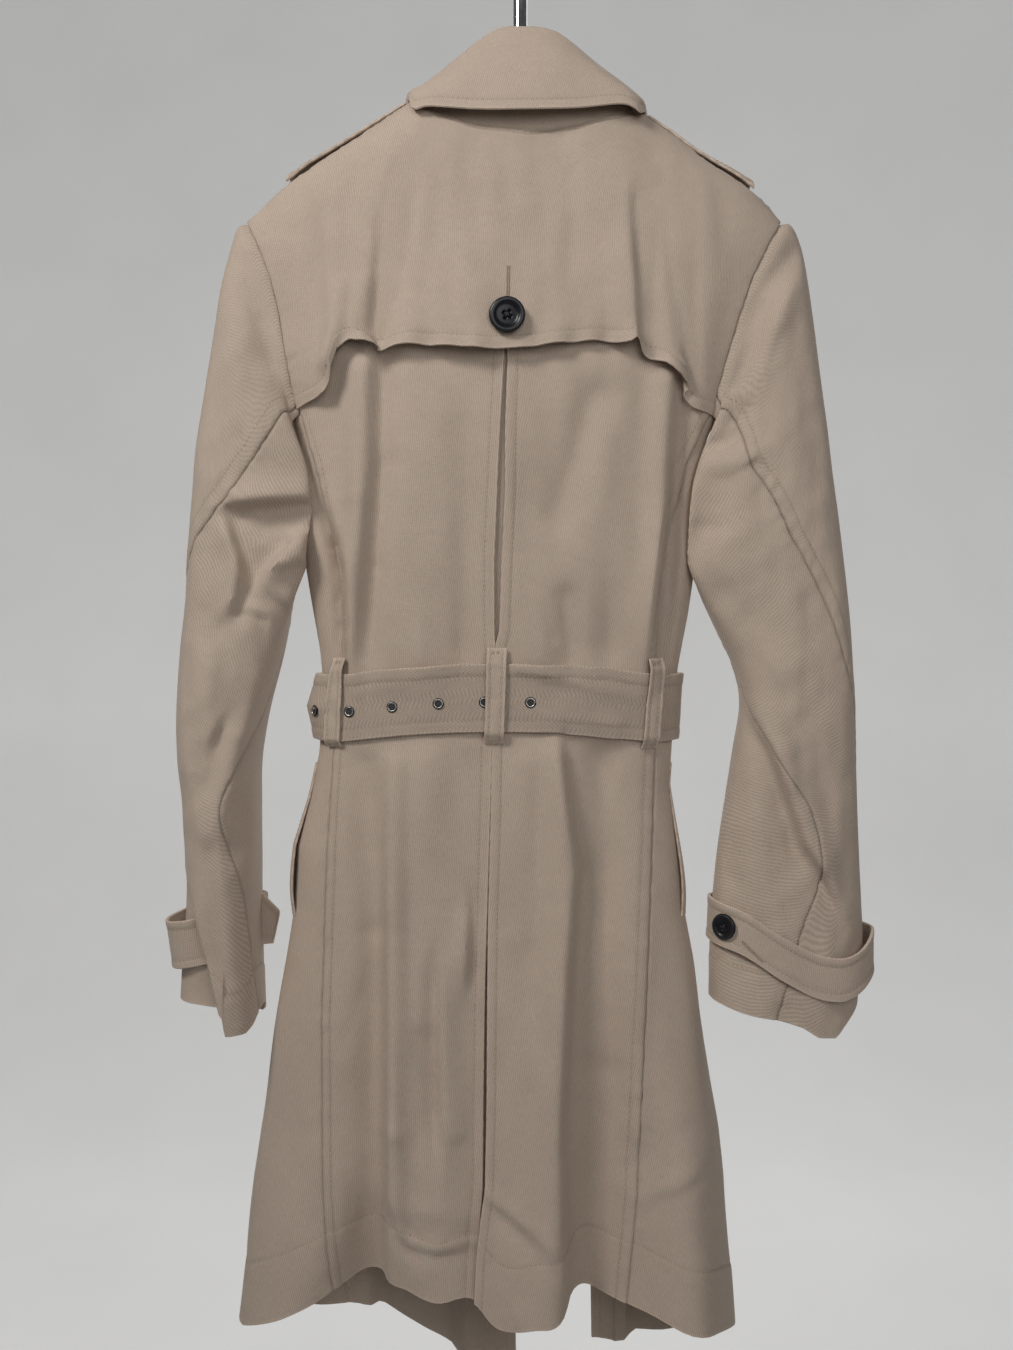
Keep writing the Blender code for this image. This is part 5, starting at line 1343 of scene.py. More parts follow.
# Sleeves: each an upper and an under piece with two seams, set into the armhole. The upper
# seam is stitched beside itself, and the cuff has a turned and stitched hem.
SLEEVE_COLUMNS = ("row", "outer_x", "outer_z", "inner_x", "inner_z", "near", "far", "seam_1", "seam_2")
SLEEVE = {
    "left": table(SLEEVE_COLUMNS, [
        (0, -200, -243, -168, -384, -80, -32, 0.435, 0.62),
        (1, -208, -245, -170.5, -391, -84, -28, 0.435, 0.62),
        (2, -213, -260, -170, -401, -86, -26, 0.41, 0.61),
        (3, -220, -288, -168, -417, -88, -24, 0.365, 0.60),
        (4, -226, -324, -165.5, -437, -88, -22, 0.32, 0.60),
        (5, -233.4, -369, -163.5, -458, -88, -20, 0.265, 0.59),
        (6, -239.4, -407, -164, -477, -88, -20, 0.215, 0.59),
        (7, -241.7, -437, -166, -493, -88, -20, 0.165, 0.58),
        (8, -244.7, -474, -169, -512, -88, -19, 0.10, 0.57),
        (9, -247, -519, -173.6, -542, -89, -18, 0.02, 0.55),
        (10, -250.7, -556, -179.5, -568, -90, -16, -0.04, 0.52),
        (11, -253, -601, -188.5, -602, -91, -14, -0.07, 0.47),
        (12, -252, -636, -194, -636, -92, -13, -0.08, 0.36),
        (13, -248.4, -669, -194.5, -669, -93, -12, -0.08, 0.29),
        (14, -247, -706, -194.5, -706, -93, -12, -0.09, 0.33),
        (15, -247, -743, -194.5, -743, -93, -12, -0.09, 0.38),
        (16, -249, -786, -193.5, -786, -93, -12, -0.10, 0.42),
        (17, -251, -832, -192, -832, -93, -13, -0.10, 0.45),
    ]),
    "right": table(SLEEVE_COLUMNS, [
        (0, 191, -243, 146, -384, -80, -32, 0.415, 0.62),
        (1, 200, -244, 147.5, -391, -84, -28, 0.425, 0.62),
        (2, 208, -262, 144, -402, -86, -26, 0.41, 0.61),
        (3, 213.4, -294, 139.5, -420, -88, -24, 0.36, 0.60),
        (4, 218.7, -332, 135, -440, -88, -23, 0.31, 0.60),
        (5, 223, -365, 132.5, -461, -88, -23, 0.285, 0.60),
        (6, 227, -395, 131, -479, -88, -24, 0.25, 0.60),
        (7, 230.6, -426, 130, -497, -88, -24, 0.22, 0.59),
        (8, 235, -459, 134.8, -515, -88, -25, 0.20, 0.58),
        (9, 239.6, -500, 146, -541, -88, -26, 0.165, 0.56),
        (10, 243.4, -541, 158.8, -570, -88, -28, 0.13, 0.52),
        (11, 245.6, -586, 163.3, -596, -88, -30, 0.08, 0.45),
        (12, 247, -631, 158, -631, -88, -30, 0.02, 0.34),
        (13, 248, -669, 152, -669, -88, -30, -0.02, 0.22),
        (14, 249.4, -706, 146.5, -706, -88, -30, -0.04, 0.19),
        (15, 251, -743, 143, -743, -88, -30, -0.05, 0.22),
        (16, 252, -786, 141.5, -786, -88, -29, -0.06, 0.265),
        (17, 248, -832, 141, -832, -88, -28, -0.06, 0.30),
    ]),
}
# Folds of the sleeves, seen from the room.
SLEEVE_FOLDS = {
    "left": [
        (-156, -468, -172, -480, 8, 9, 5, 5), (-172, -480, -184, -500, 9, 9, 5, 3),
        (-190, -470, -176, -466, 10, 9, -4, -4), (-169, -548, -196, -620, 9, 10, 6, 9),
        (-196, -620, -220, -685, 10, 11, 9, 4), (-156, -560, -182, -632, 8, 10, -8, -10),
        (-182, -632, -202, -700, 10, 10, -10, -5), (-200, -262, -178, -345, 10, 9, -4, -6),
        (-228, -560, -236, -640, 12, 14, 4, 4),
    ],
    "right": [
        (166, -572, 190, -628, 12, 12, 2, 4), (190, -628, 220, -705, 12, 12, 4, 4),
        (200, -265, 176, -312, 9, 9, -5, -6), (176, -312, 156, -405, 9, 9, -6, -8),
        (190, -300, 168, -372, 9, 9, 3, 5), (156, -405, 138, -417, 8, 7, -8, -6),
        (154, -436, 148, -468, 9, 9, -4, -7), (148, -468, 138, -490, 9, 8, -7, -6),
        (136, -440, 130, -490, 8, 8, 5, 6), (150, -520, 190, -570, 14, 16, -3, 3),
        (150, -640, 150, -720, 9, 9, -5, -4),
    ],
}
SLEEVE_LAPS = {
    "left": [
        [(-214, -455, 11, 1), (-206, -454, 13, 6.5), (-190, -452, 14, 8), (-172, -449, 13, 6),
         (-158, -446, 12, 2)],
        [(-206.5, -545, 9, 0), (-206.5, -530, 9, 3.5), (-203, -521, 9, 6), (-200.8, -503, 9, 7),
         (-202, -490, 9, 7), (-208.5, -471, 9, 5.5), (-213, -459, 9, 1.5)],
        [(-178, -496, 9, 2), (-170.7, -492.7, 10, 7), (-158, -487.5, 10, 7), (-152, -485, 10, 4)],
        [(-190, -512, 7, 0.5), (-178, -525.5, 8, 5), (-165, -521, 8, 3.6), (-158, -514, 8, 0.6)],
        [(-177, -470, 7, 0.5), (-180, -480, 8, 5.5), (-188, -497, 8, 6), (-194, -512, 8, 2)],
        [(-191, -531, 6, 0.5), (-187, -534, 6, 3.4), (-183.6, -551, 6, 0.8)],
        [(-206, -528, 6, 0.5), (-196, -530, 6, 2.0), (-189, -531, 6, 1.4)],
        [(-222, -632, 6, 0.5), (-216, -614, 6, 2.6), (-209.4, -599, 6, 0.6)],
    ],
    "right": [
        [(150, -566, 10, 1), (160, -590, 11, 4), (178.7, -628.7, 12, 6), (202.3, -696.7, 12, 7),
         (218, -722, 11, 6), (236, -757.6, 9, 2)],
        [(160, -428, 7, 0.4), (171, -420, 7, 1.8), (180, -426, 6, 0.6)],
    ],
}
SLEEVE_CREASES = {
    "left": [
        (-200, -272, -187, -318, 7, 7, -1.5, -2.6), (-187, -318, -169, -350, 7, 6, -2.6, -2.0),
        (-205, -400, -190, -425, 8, 7, -1.4, -1.6), (-214, -540, -206, -532, 3, 3, -2.0, -1.6),
        (-226, -530, -222, -560, 6, 7, -1.8, -1.2), (-220, -570, -222, -620, 4, 5, 2.0, 1.4),
        (-238, -600, -246, -615, 3, 3, 1.4, 1.0), (-214, -700, -206, -780, 6, 7, 2.4, 2.0),
        (-232, -660, -228, -740, 7, 8, 1.8, 1.6), (-222, -700, -214, -790, 5, 6, -2.0, -1.6),
    ],
    "right": [
        (196, -272, 172, -312, 6, 6, -1.4, -2.2), (200, -292, 180, -330, 7, 6, 1.6, 1.4),
        (190, -326, 160, -400, 7, 7, -1.6, -2.2), (168, -420, 156, -470, 8, 8, 1.6, 1.2),
        (146, -500, 172, -540, 7, 8, -1.6, -1.4), (176, -560, 196, -600, 7, 7, 1.4, 1.8),
        (205, -722, 236, -764, 6, 6, 2.0, 1.4), (160, -680, 172, -740, 8, 8, 1.8, 1.2),
        (152, -620, 160, -660, 7, 7, -1.8, -1.2),
    ],
}
SLEEVE_TURN = 0.1
# How far the left cuff's near layer stands out, the line where it starts, and how much lower
# or higher a cuff ends.
LAYER = 15.0
LAYER_EDGE = table(("height", "x"), [(-832, -212), (-800, -220), (-770, -228), (-735, -237), (-715, -243)])
CUFF_SLANT = {
    "left": table(("x", "height"), [
        (-252, 19), (-235, 18), (-216, 16), (-213, 14), (-210.5, -1), (-198, -1), (-194.5, 3), (-192, 12),
        (-188, 17),
    ]),
    "right": table(("x", "height"), [
        (140, 20), (160, 14), (187, 9), (203, 4), (214, -3), (227, -4), (236, 6), (250, 22),
    ]),
}
# Where the inner side of a sleeve swells towards the back, on the room's side.
SWELL = {
    "left": table(("row", "out"), [
        (1, 0), (2, 5), (3, 12), (4, 17), (5, 18), (6, 17), (7.6, 17), (8.2, 13), (9, 4), (10, 0),
    ]),
    "right": table(("row", "out"), [
        (1, 0), (2, 6), (3, 12), (4, 16), (6, 17), (7.6, 14), (8.6, 7), (9.6, 0),
    ]),
}
SLEEVE_GAP = 0.0012
CUFF_HEM = 31.0
SLEEVE_CUT = {
    "upper_left": (0.24, 0.62, 0.074),
    "under_left": (0.14, 0.51, 0.055),
    "upper_right": (0.28, 0.63, 0.103),
    "under_right": (0.12, 0.52, 0.042),
}
SEAM_ROW = {"left": 10.7, "right": 8.5}
SEAM_STEPS = (0.4, 1, 2, 3.6)
AROUND = 241


def armhole_loop(hand):
    """The armhole's edge, from the shoulder down the back, under the arm and up the front."""
    sign = -1 if hand == "left" else 1
    low = len(LOWER_ROWS) - 1
    back = BACK[hand][low:, -1][::-1]
    under = SIDE[hand][-1]
    front = FRONT[hand][low:, -1]
    loop = np.concatenate((back, under, front))
    loop[:, 0] += sign * SLEEVE_TURN
    return loop


def resampled(loop, parts):
    """A line's points at parts of its length."""
    length = along_it(loop)
    at = np.asarray(parts) * length[-1]
    return np.stack([np.interp(at, length, loop[:, i]) for i in range(3)], axis=-1)


def section(hand, row, plain=False):
    """A section of a sleeve as its table gives it, with its folds and creases unless plain."""
    part = {name: float(read(SLEEVE[hand], name, row)) for name in SLEEVE_COLUMNS}
    angle = np.linspace(0, 2 * math.pi, AROUND)
    cosine, sine = np.cos(angle), np.sin(angle)
    reach = np.sign(cosine) * np.abs(cosine) ** (2 / ROUND)
    deep = np.abs(sine) ** (2 / ROUND)
    middle = (part["near"] + part["far"]) / 2
    half = (part["far"] - part["near"]) / 2
    x = (part["outer_x"] + part["inner_x"]) / 2 + reach * (part["outer_x"] - part["inner_x"]) / 2
    z = (part["outer_z"] + part["inner_z"]) / 2 + reach * (part["outer_z"] - part["inner_z"]) / 2
    lift = 0
    if not plain:
        still = float(ease(0, 2, row))
        big = folds(x, z, SLEEVE_FOLDS[hand]) + laps(x, z, SLEEVE_LAPS[hand], 2.0)
        fine = folds(x, z, SLEEVE_CREASES[hand], CRISP)
        turned = x + 0.6 * middle * np.sign(sine)
        waves = 0.8 * ripples(turned, z, 71, 46, 110) + 0.3 * ripples(turned, z, 72, 18, 34)
        lift = (big + fine + waves) * (1 - reach**8) * still
        swell = float(read(SWELL[hand], "out", row)) * np.exp(-(((angle - 2.4) / 0.5) ** 2))
        x = x + math.copysign(1, part["inner_x"] - part["outer_x"]) * swell
    y = middle - np.sign(sine) * deep * half - np.where(sine > 0, lift, -0.5 * lift)
    if not plain:
        z = z + line(CUFF_SLANT[hand], "height", x) * float(ease(14.5, 17, row))
        if hand == "left":
            edge = line(LAYER_EDGE, "x", z)
            over = (sine > 0) * deep * ease(edge + 1.5, edge - 2.5, x)
            y = y + LAYER * float(ease(13.3, 14.8, row)) * over
    return np.stack((x, y, z), axis=-1)


def sleeve_loop(hand, row):
    """A closed section of a sleeve, starting at its outer side, past the room side."""
    if row <= 0:
        return armhole_loop(hand)
    loop = section(hand, row)
    blend = float(ease(0, 3, row))
    if blend < 1:
        parts = np.linspace(0, 1, AROUND)
        start = resampled(armhole_loop(hand), parts)
        lean = resampled(loop, parts)
        first = resampled(section(hand, 0, plain=True), parts)
        loop = lean + (start - first) * (1 - blend)
    return loop


CUFF_STEPS = (0, 0.06, 0.1, 0.13, 0.16, 0.2, 0.26, 0.34, 0.44, 0.54, 0.64, 0.74, 0.83, 0.9, 0.95, 0.985, 1.0)
SLEEVE_ROWS = np.concatenate((
    (0, 0.02, 0.05, 0.09, 0.14, 0.2), np.linspace(0.28, 15.9, 186), 16.0 + np.array(CUFF_STEPS),
))
SLEEVE_LOOPS = {}
for hand in ("left", "right"):
    loops = [resampled(sleeve_loop(hand, row), np.linspace(0, 1, 481)) for row in SLEEVE_ROWS]
    SLEEVE_LOOPS[hand] = np.array(loops)


def sleeve_grid(hand, starts, ends, count_parts):
    """Points and normals of a sleeve between two lines that run down it."""
    loops = SLEEVE_LOOPS[hand]
    rows = len(loops)
    ring = loops[:, :-1]
    ahead = np.roll(ring, -4, axis=1) - np.roll(ring, 4, axis=1)
    down = np.gradient(ring, SLEEVE_ROWS, axis=0)
    normal = unit(np.cross(ahead, down))
    outward = ring - ring.mean(axis=1, keepdims=True)
    normal = normal * np.sign((normal * outward).sum())
    steps = ring.shape[1]
    grid = np.empty((rows, len(count_parts), 3))
    normals = np.empty_like(grid)
    for k in range(rows):
        at = np.mod(starts[k] + count_parts * (ends[k] - starts[k]), 1.0) * steps
        low = np.floor(at).astype(int) % steps
        high = (low + 1) % steps
        t = (at - np.floor(at))[:, None]
        grid[k] = ring[k, low] * (1 - t) + ring[k, high] * t
        normals[k] = normal[k, low] * (1 - t) + normal[k, high] * t
    return grid, unit(normals)


SLANTED_TWILL = twill("slanted_twill", 0.75, 0.0018)
for hand, seed in (("left", 21), ("right", 24)):
    seam_1 = read(SLEEVE[hand], "seam_1", SLEEVE_ROWS)
    seam_2 = read(SLEEVE[hand], "seam_2", SLEEVE_ROWS)
    row = SEAM_ROW[hand]
    by_seam = (*SEAM_STEPS, 5.6, row - 1.4, row - 0.4, row + 0.4, row + 1.6)
    upper = stations(160, 2.4, SEAM_STEPS, by_seam)
    under = stations(100, 2.9, SEAM_STEPS, SEAM_STEPS)
    for kind, starts, ends, parts in (
        ("upper", seam_2 + SLEEVE_GAP, 1 + seam_1 - SLEEVE_GAP, upper),
        ("under", seam_1 + SLEEVE_GAP, seam_2 - SLEEVE_GAP, under),
    ):
        grid, normals = sleeve_grid(hand, starts, ends, parts)
        stitched = (("last", row),) if kind == "upper" else ()
        worked, tone = sew(
            grid, normals, seed, seams=("first", "last", "low"), rows=stitched, hems=(("high", CUFF_HEM),),
            free=("high",), gentle=("low",),
        )
        name = "sleeve_" + kind + "_cloth_" + hand
        piece = cloth(name, worked, normals, tone, turn=-1.0, weave=SLANTED_TWILL)
        lines = [inset(worked, normals, "high", CUFF_HEM, 0.5, 0.5)]
        if stitched:
            lines.append(inset(worked, normals, "last", row, 1, 1))
        sewing = stitches("sleeve_" + kind + "_stitches_" + hand, lines, seed)
        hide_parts("sleeve_" + kind + "_" + hand)
        wide, long, area = SLEEVE_CUT[kind + "_" + hand]

# Cuff straps: bands of two layers of twill round the sleeves, stitched along both edges and
# closed by a button. The left one runs under the cuff's near layer, and its loose end stands out
# in front of the button. The right one sags.
# For each strap: its tilt, how far it stands off at the outer side, and its height.
CUFF_STRAP = {"left": (-15, 9, 34), "right": (22, 4, 30)}
CUFF_SAG = table(("spread", "height"), [
    (-0.5, 27), (-0.36, 22), (-0.07, 2), (0.19, -11), (0.33, -11), (0.42, -5), (0.5, 6),
])
CUFF_MIDDLE = {"left": -765.0, "right": -781.0}
STRAP_ROW = 5.5
STRAP_STEPS = (0.5, 1.2, 2.4, 4.4, 5.1, 5.9, 7)
CUFF_ROW = 15.7
TUCK = 4
# The left strap's loose end, seen from the room: its sides, its upper edge and its lower edge.
TIP_START, TIP_END = -201, -181.4
TIP_TOP = table(("x", "height"), [(-201, -735), (-196.6, -738), (-181.4, -753)])
TIP_FOOT = table(("x", "height"), [(-201, -778.5), (-186, -777), (-181.4, -755.5)])
TIP_DEPTH = (-41, -43)
TIP_ROW = 5.2
TIP_STEPS = (0.5, 1.2, 2.4, 4.4, 5.4, 6.4)
CUFF_BUTTON = 9.5


def band(hand, level, parts, out):
    """Points round a sleeve at a height, moved out from its surface."""
    at = np.arange(12, 17.01, 0.125)
    loops = np.array([resampled(section(hand, row, plain=True), parts) for row in at])
    if hand == "left":
        loops[..., 1] += LAYER * np.clip((-53 - loops[..., 1]) / 38, 0, 1)
    points = []
    for i in range(len(parts)):
        run = loops[::-1, i]
        points.append([np.interp(level[i], run[:, 2], run[:, k]) for k in range(3)])
    points = np.array(points)
    ahead = np.roll(points, -3, axis=0) - np.roll(points, 3, axis=0)
    normal = unit(np.stack((ahead[:, 1], -ahead[:, 0], np.zeros(len(points))), axis=-1))
    away = points - points.mean(axis=0)
    normal = normal * np.sign((normal * away).sum())
    return points + normal * np.asarray(out)[:, None], normal


CUFF = {}
for hand, sign, seed in (("left", -1, 31), ("right", 1, 32)):
    parts = np.linspace(0, 1, 131)[:-1]
    round_cuff = resampled(section(hand, CUFF_ROW, plain=True), parts)
    spread = (round_cuff[:, 0] - round_cuff[:, 0].mean()) / np.ptp(round_cuff[:, 0])
    tilt, open_by, tall = CUFF_STRAP[hand]
    lift = -spread * tilt
    if sign > 0:
        near = ease(-45, -75, round_cuff[:, 1])
        lift = (lift + 16) * (1 - near) + read(CUFF_SAG, "height", spread) * near
    loose = open_by * ease(0.0, 0.5, spread * sign)
    stand_off = 1.6 + STRAP_CLOTH + loose
    if hand == "left":
        tucked = ease(0.20, 0.32, spread) * ease(-34, -42, round_cuff[:, 1])
        stand_off = stand_off * (1 - tucked) - TUCK * tucked
    levels = 0.5 - stations(tall, 2.6, STRAP_STEPS, STRAP_STEPS)
    lean = 0.55 * loose * (sign < 0)
    upper, upper_normal = band(hand, CUFF_MIDDLE[hand] + lift + 0.5 * tall, parts, stand_off + 0.3 * lean)
    lower, lower_normal = band(hand, CUFF_MIDDLE[hand] + lift - 0.5 * tall, parts, stand_off - lean)
    grid = []
    normals = []
    for level in levels:
        t = 0.5 - level
        grid.append(upper * (1 - t) + lower * t)
        normals.append(upper_normal * (1 - t) + lower_normal * t)
    grid, normals = np.array(grid), unit(np.array(normals))
    round_trip = np.arange(len(parts)) / len(parts) * 2 * math.pi
    wave = 0.5 * np.sin(3 * round_trip + 1) + 0.35 * np.sin(7 * round_trip + 2)
    grid = grid + normals * wave[None, :, None]
    edges = ("low", "high")
    worked, tone = sew(grid, normals, seed, rows=[(edge, STRAP_ROW) for edge in edges], free=edges)
    CUFF[hand] = (worked, normals)
    name = "cuff_strap_cloth_" + hand
    strap = cloth(name, worked, normals, tone, STRAP_CLOTH, closed=True, turn=-1.0)
    lines = [inset(worked, normals, edge, STRAP_ROW) for edge in edges]
    sewing = stitches("cuff_strap_stitches_" + hand, lines, seed)
    if hand == "left":
        along = stations(20, 1.8, (0.5,), (0.4, 1.0, 2.0, 3.0))
        up = stations(36, 2.2, TIP_STEPS, TIP_STEPS)
        x = TIP_START + (TIP_END - TIP_START) * along
        y = TIP_DEPTH[0] + (TIP_DEPTH[1] - TIP_DEPTH[0]) * along
        high, foot = line(TIP_TOP, "height", x), line(TIP_FOOT, "height", x)
        z = foot + up[:, None] * (high - foot)
        tip = np.stack(np.broadcast_arrays(x[None, :], y[None, :], z), axis=-1)
        tip_normals = surface_normal(tip, (0.3, -1, 0))
        rows = (("low", TIP_ROW), ("high", TIP_ROW))
        worked, tone = sew(tip, tip_normals, 33, rows=rows, free=("low", "high", "last"))
        cloth("cuff_strap_tip", worked, tip_normals, tone, STRAP_CLOTH)
    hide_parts("cuff_strap_" + hand)

for hand, part in (("right", 11 / 26), ("left", 16 / 26)):
    grid, normals = CUFF[hand]
    at = (grid.shape[0] // 2, int(round(part * grid.shape[1])))
    node = "cuff_button_" + hand
    button(node, node, grid[at], normals[at], CUFF_BUTTON, 0.5, 0.5, 56)
buttonhole("cuff_buttonhole_right", *CUFF["right"], (159, -766), (173, -780), 2.2)

# Pocket welts: strips of the same twill, folded double and stitched, that stand at the mouth of
# each side pocket and are sewn down at the front.
WELT_TOP, WELT_FOOT = -640.0, -752.0
WELT_ROW = 5.2
# The welt's place on the side panel, in parts of the way from back to front.
WELT_START, WELT_END = 0.36, 0.78
for hand, open_by, seed in (("left", 2.6, 34), ("right", 1.2, 35)):
    heights = np.linspace(WELT_FOOT, WELT_TOP, 60)
    parts = stations(45, 2.6, (0.5, 1.3, 2.6, 4.4, 5.2, 6), (0.5, 1.3, 2.6))
    wide = WELT_START + (WELT_END - WELT_START) * parts
    points = side_lines(hand, heights, wide)
    normals = body_normal(points)
    rise = np.sin(np.linspace(0, 1, len(heights)) ** 0.54 * math.pi)[:, None] ** 2
    mouth = np.interp(wide, (WELT_START, 0.5, 0.64, WELT_END), (1, 0.7, 0.3, 0))[None, :]
    stand_off = 0.5 + (0.6 + CLOTH + open_by * mouth) * rise
    grid = points + normals * stand_off[..., None]
    worked, tone = sew(grid, normals, seed, rows=(("first", WELT_ROW),), free=("first", "low", "high"))
    welt = cloth("pocket_welt_cloth_" + hand, worked, normals, tone)
    sewing = stitches("pocket_welt_stitches_" + hand, [inset(worked, normals, "first", WELT_ROW, 1, 1)], seed)
    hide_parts("pocket_welt_" + hand)

# The belt: a strap of two layers of herringbone twill, stitched along its edges. It runs through
# three loops round the back, from a little past one front's edge to a little past the other's.
BELT_WIDTH = 48.0
BELT_OUT = 1.0
BELT_ROW = 8.0
BELT_LEVEL = -591.5
BELT_SAG, BELT_SAG_BEHIND = 7, 5
BELT_PAST = 30
BELT_STEPS = (0.5, 1.2, 2.4, 4.4, 6.8, 7.6, 8.4, 9.4)


def round_body(z_of, parts, lift):
    """Points round the body from the left front edge past the back to the right front edge."""
    left_edge = float(line(FRONT_EDGE, "left", WAIST)) - BELT_PAST
    right_edge = float(line(FRONT_EDGE, "right", WAIST)) + BELT_PAST
    left = float(line(LEFT_OUTLINE, "x", WAIST))
    right = float(line(RIGHT_OUTLINE, "x", WAIST))
    middle, half = (left + right) / 2, (right - left) / 2
    start = math.asin((left_edge - middle) / half)
    stop = math.asin((right_edge - middle) / half)
    front_left = middle + half * np.sin(np.linspace(start, -math.pi / 2, 60))
    back = middle + half * np.sin(np.linspace(-math.pi / 2, math.pi / 2, 160))
    front_right = middle + half * np.sin(np.linspace(math.pi / 2, stop, 60))
    x = np.concatenate((front_left, back[1:], front_right[1:]))
    face = np.concatenate((-np.ones(60), np.ones(159), -np.ones(59)))
    level = np.full_like(x, WAIST)
    y = np.where(face > 0, body_depth(x, level, 1), body_depth(x, level, -1))
    path = np.stack((x, y, level), axis=-1)
    flat = resampled(path, parts)
    length = along_it(path)
    rear = np.interp(np.asarray(parts) * length[-1], length, face) > 0
    x = flat[:, 0]
    z = z_of(x, flat[:, 1])
    scaled = across(x, np.full_like(x, WAIST))
    left = line(LEFT_OUTLINE, "x", z)
    right = line(RIGHT_OUTLINE, "x", z)
    x = (left + right) / 2 + scaled * (right - left) / 2
    y = np.where(rear, body_depth(x, z, 1), body_depth(x, z, -1))
    points = np.stack((x, y, z), axis=-1)
    normals = body_normal(points)
    lift = lift + 1.1 * np.abs(scaled) ** 8
    lift = lift + 8.0 * ease(-0.84, -1.0, scaled) * ease(-625, -605, z) * ease(-583, -600, z)
    return points + normals * lift[:, None], normals


def belt_height(offset):
    """The height of the belt's middle, or of a line beside it, which sags towards both sides."""
    def height(x, y):
        sag = BELT_SAG + BELT_SAG_BEHIND * ease(-60, -78, y)
        return BELT_LEVEL - sag * (np.clip(x + 15, -140, 140) / 140) ** 2 + offset

    return height


BELT_CREASES = [
    (-2, -571, 26, -576, 5, 5, 1.8, 2.6), (26, -576, 58, -586, 5, 5, 2.6, 2.4),
    (58, -586, 84, -590, 5, 6, 2.4, 1.0), (2, -579, 40, -588, 4, 4, -1.0, -1.2),
    (-118, -588, -76, -578, 5, 6, 1.4, 1.0), (-60, -607, -30, -600, 6, 6, -0.5, -0.4),
    (20, -606, 70, -610, 6, 6, 1.2, 2.2),
]
parts = np.linspace(0.0, 1.0, 300)
levels = (0.5 - stations(BELT_WIDTH, 2.8, BELT_STEPS, BELT_STEPS)) * BELT_WIDTH
top, top_normal = round_body(belt_height(BELT_WIDTH / 2), parts, BELT_OUT + STRAP_CLOTH)
mid, mid_normal = round_body(belt_height(0), parts, BELT_OUT + STRAP_CLOTH)
low, low_normal = round_body(belt_height(-BELT_WIDTH / 2), parts, BELT_OUT + STRAP_CLOTH)
grid = []
normals = []
for level in levels:
    t = 2 * level / BELT_WIDTH
    edge, edge_normal = (top, top_normal) if t > 0 else (low, low_normal)
    grid.append(mid + (edge - mid) * abs(t))
    normals.append(mid_normal + (edge_normal - mid_normal) * abs(t))
grid, normals = np.array(grid), unit(np.array(normals))
on_rear = normals[..., 1] < 0
fine = folds(grid[..., 0], grid[..., 2], BELT_CREASES, CRISP) * on_rear
fine = fine + 0.25 * ripples(grid[..., 0], grid[..., 2], 81, 36, 60)
grid = grid + normals * np.maximum(fine, -1.2)[..., None]
worked, tone = sew(
    grid, normals, 36, rows=(("low", BELT_ROW), ("high", BELT_ROW)), free=("low", "high", "first", "last"),
)
belt_grid, belt_normals = worked, normals
herringbone = twill("herringbone", 0.8, 0.0021, 0.0056)
belt = cloth("belt_cloth", worked, normals, tone - 0.45, STRAP_CLOTH, turn=-1.0, weave=herringbone)
sewing = stitches(
    "belt_stitches",
    [inset(worked, normals, "low", BELT_ROW, 2, 2), inset(worked, normals, "high", BELT_ROW, 2, 2)],
    36,
)
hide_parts("belt")

# Belt loops: narrow folded strips, stitched along both edges and tacked to the back above
# and below the belt.
LOOP_OUT = BELT_OUT + STRAP_CLOTH + 1.7
LOOP_ROW = 2.6
LOOP_ROWS = (
    # name, x at the top, x at the foot, top, foot, half width
    ("left", -130, -134.5, -563, -627, 5.2),
    ("centre", -16.5, -19, -556, -624, 6.6),
    ("right", 97, 92.5, -563, -628, 5.2),
)


def on_back(x, z, lift):
    """Points moved out from the back, with the directions out."""
    x, z = np.broadcast_arrays(np.asarray(x, float), np.asarray(z, float))
    points = np.stack((x, body_depth(x, z, 1), z), axis=-1)
    normal = body_normal(points)
    return points + normal * np.asarray(lift)[..., None], normal


for name, top_x, foot_x, top_z, foot_z, half in LOOP_ROWS:
    centre = float(belt_height(0)(foot_x, 0))
    lower, higher = centre - BELT_WIDTH / 2 - 2, centre + BELT_WIDTH / 2 + 2
    knots_z = np.array((foot_z, lower, centre, higher, top_z))
    knots_out = np.array((0.8, LOOP_OUT, LOOP_OUT + 0.3, LOOP_OUT, 1.5))
    ends = foot_z + np.array((0, 0.4, 1.0)), top_z - np.array((1.0, 0.4, 0))
    z = np.concatenate((ends[0], np.linspace(foot_z + 2, top_z - 2, 44), ends[1]))
    smooth = {"columns": ("z", "out"), "rows": np.column_stack((knots_z, knots_out))}
    out = np.clip(read(smooth, "out", z), 0.8, LOOP_OUT + 0.4)
    out = np.where((z > lower) & (z < higher), np.maximum(out, LOOP_OUT), out)
    by_edge = np.array((0.52, 0.64, 0.74, 0.84, 0.93, 1))
    side = np.concatenate((-by_edge[::-1], np.linspace(-0.4, 0.4, 7), by_edge))
    middle = foot_x + (z - foot_z) / (top_z - foot_z) * (top_x - foot_x)
    x = middle[:, None] + side[None, :] * half
    level = np.broadcast_to(z[:, None], x.shape)
    lift = np.broadcast_to((out + CLOTH)[:, None], x.shape) + 0.15 * ripples(x, level, 91, 12, 22)
    grid, normals = on_back(x, level, lift)
    rows = (("first", LOOP_ROW), ("last", LOOP_ROW))
    worked, tone = sew(grid, normals, 38, rows=rows, free=("first", "last", "low", "high"))
    strip = cloth("belt_loop_cloth_" + name, worked, normals, tone)
    lines = [inset(worked, normals, edge, LOOP_ROW, 1, 1) for edge in ("first", "last")]
    for edge in ("low", "high"):
        lines += [inset(worked, normals, edge, 2.2 + k * 0.55, 1.5, 1.5) for k in range(4)]
    sewing = stitches("belt_loop_stitches_" + name, lines, 38)
    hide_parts("belt_loop_" + name)
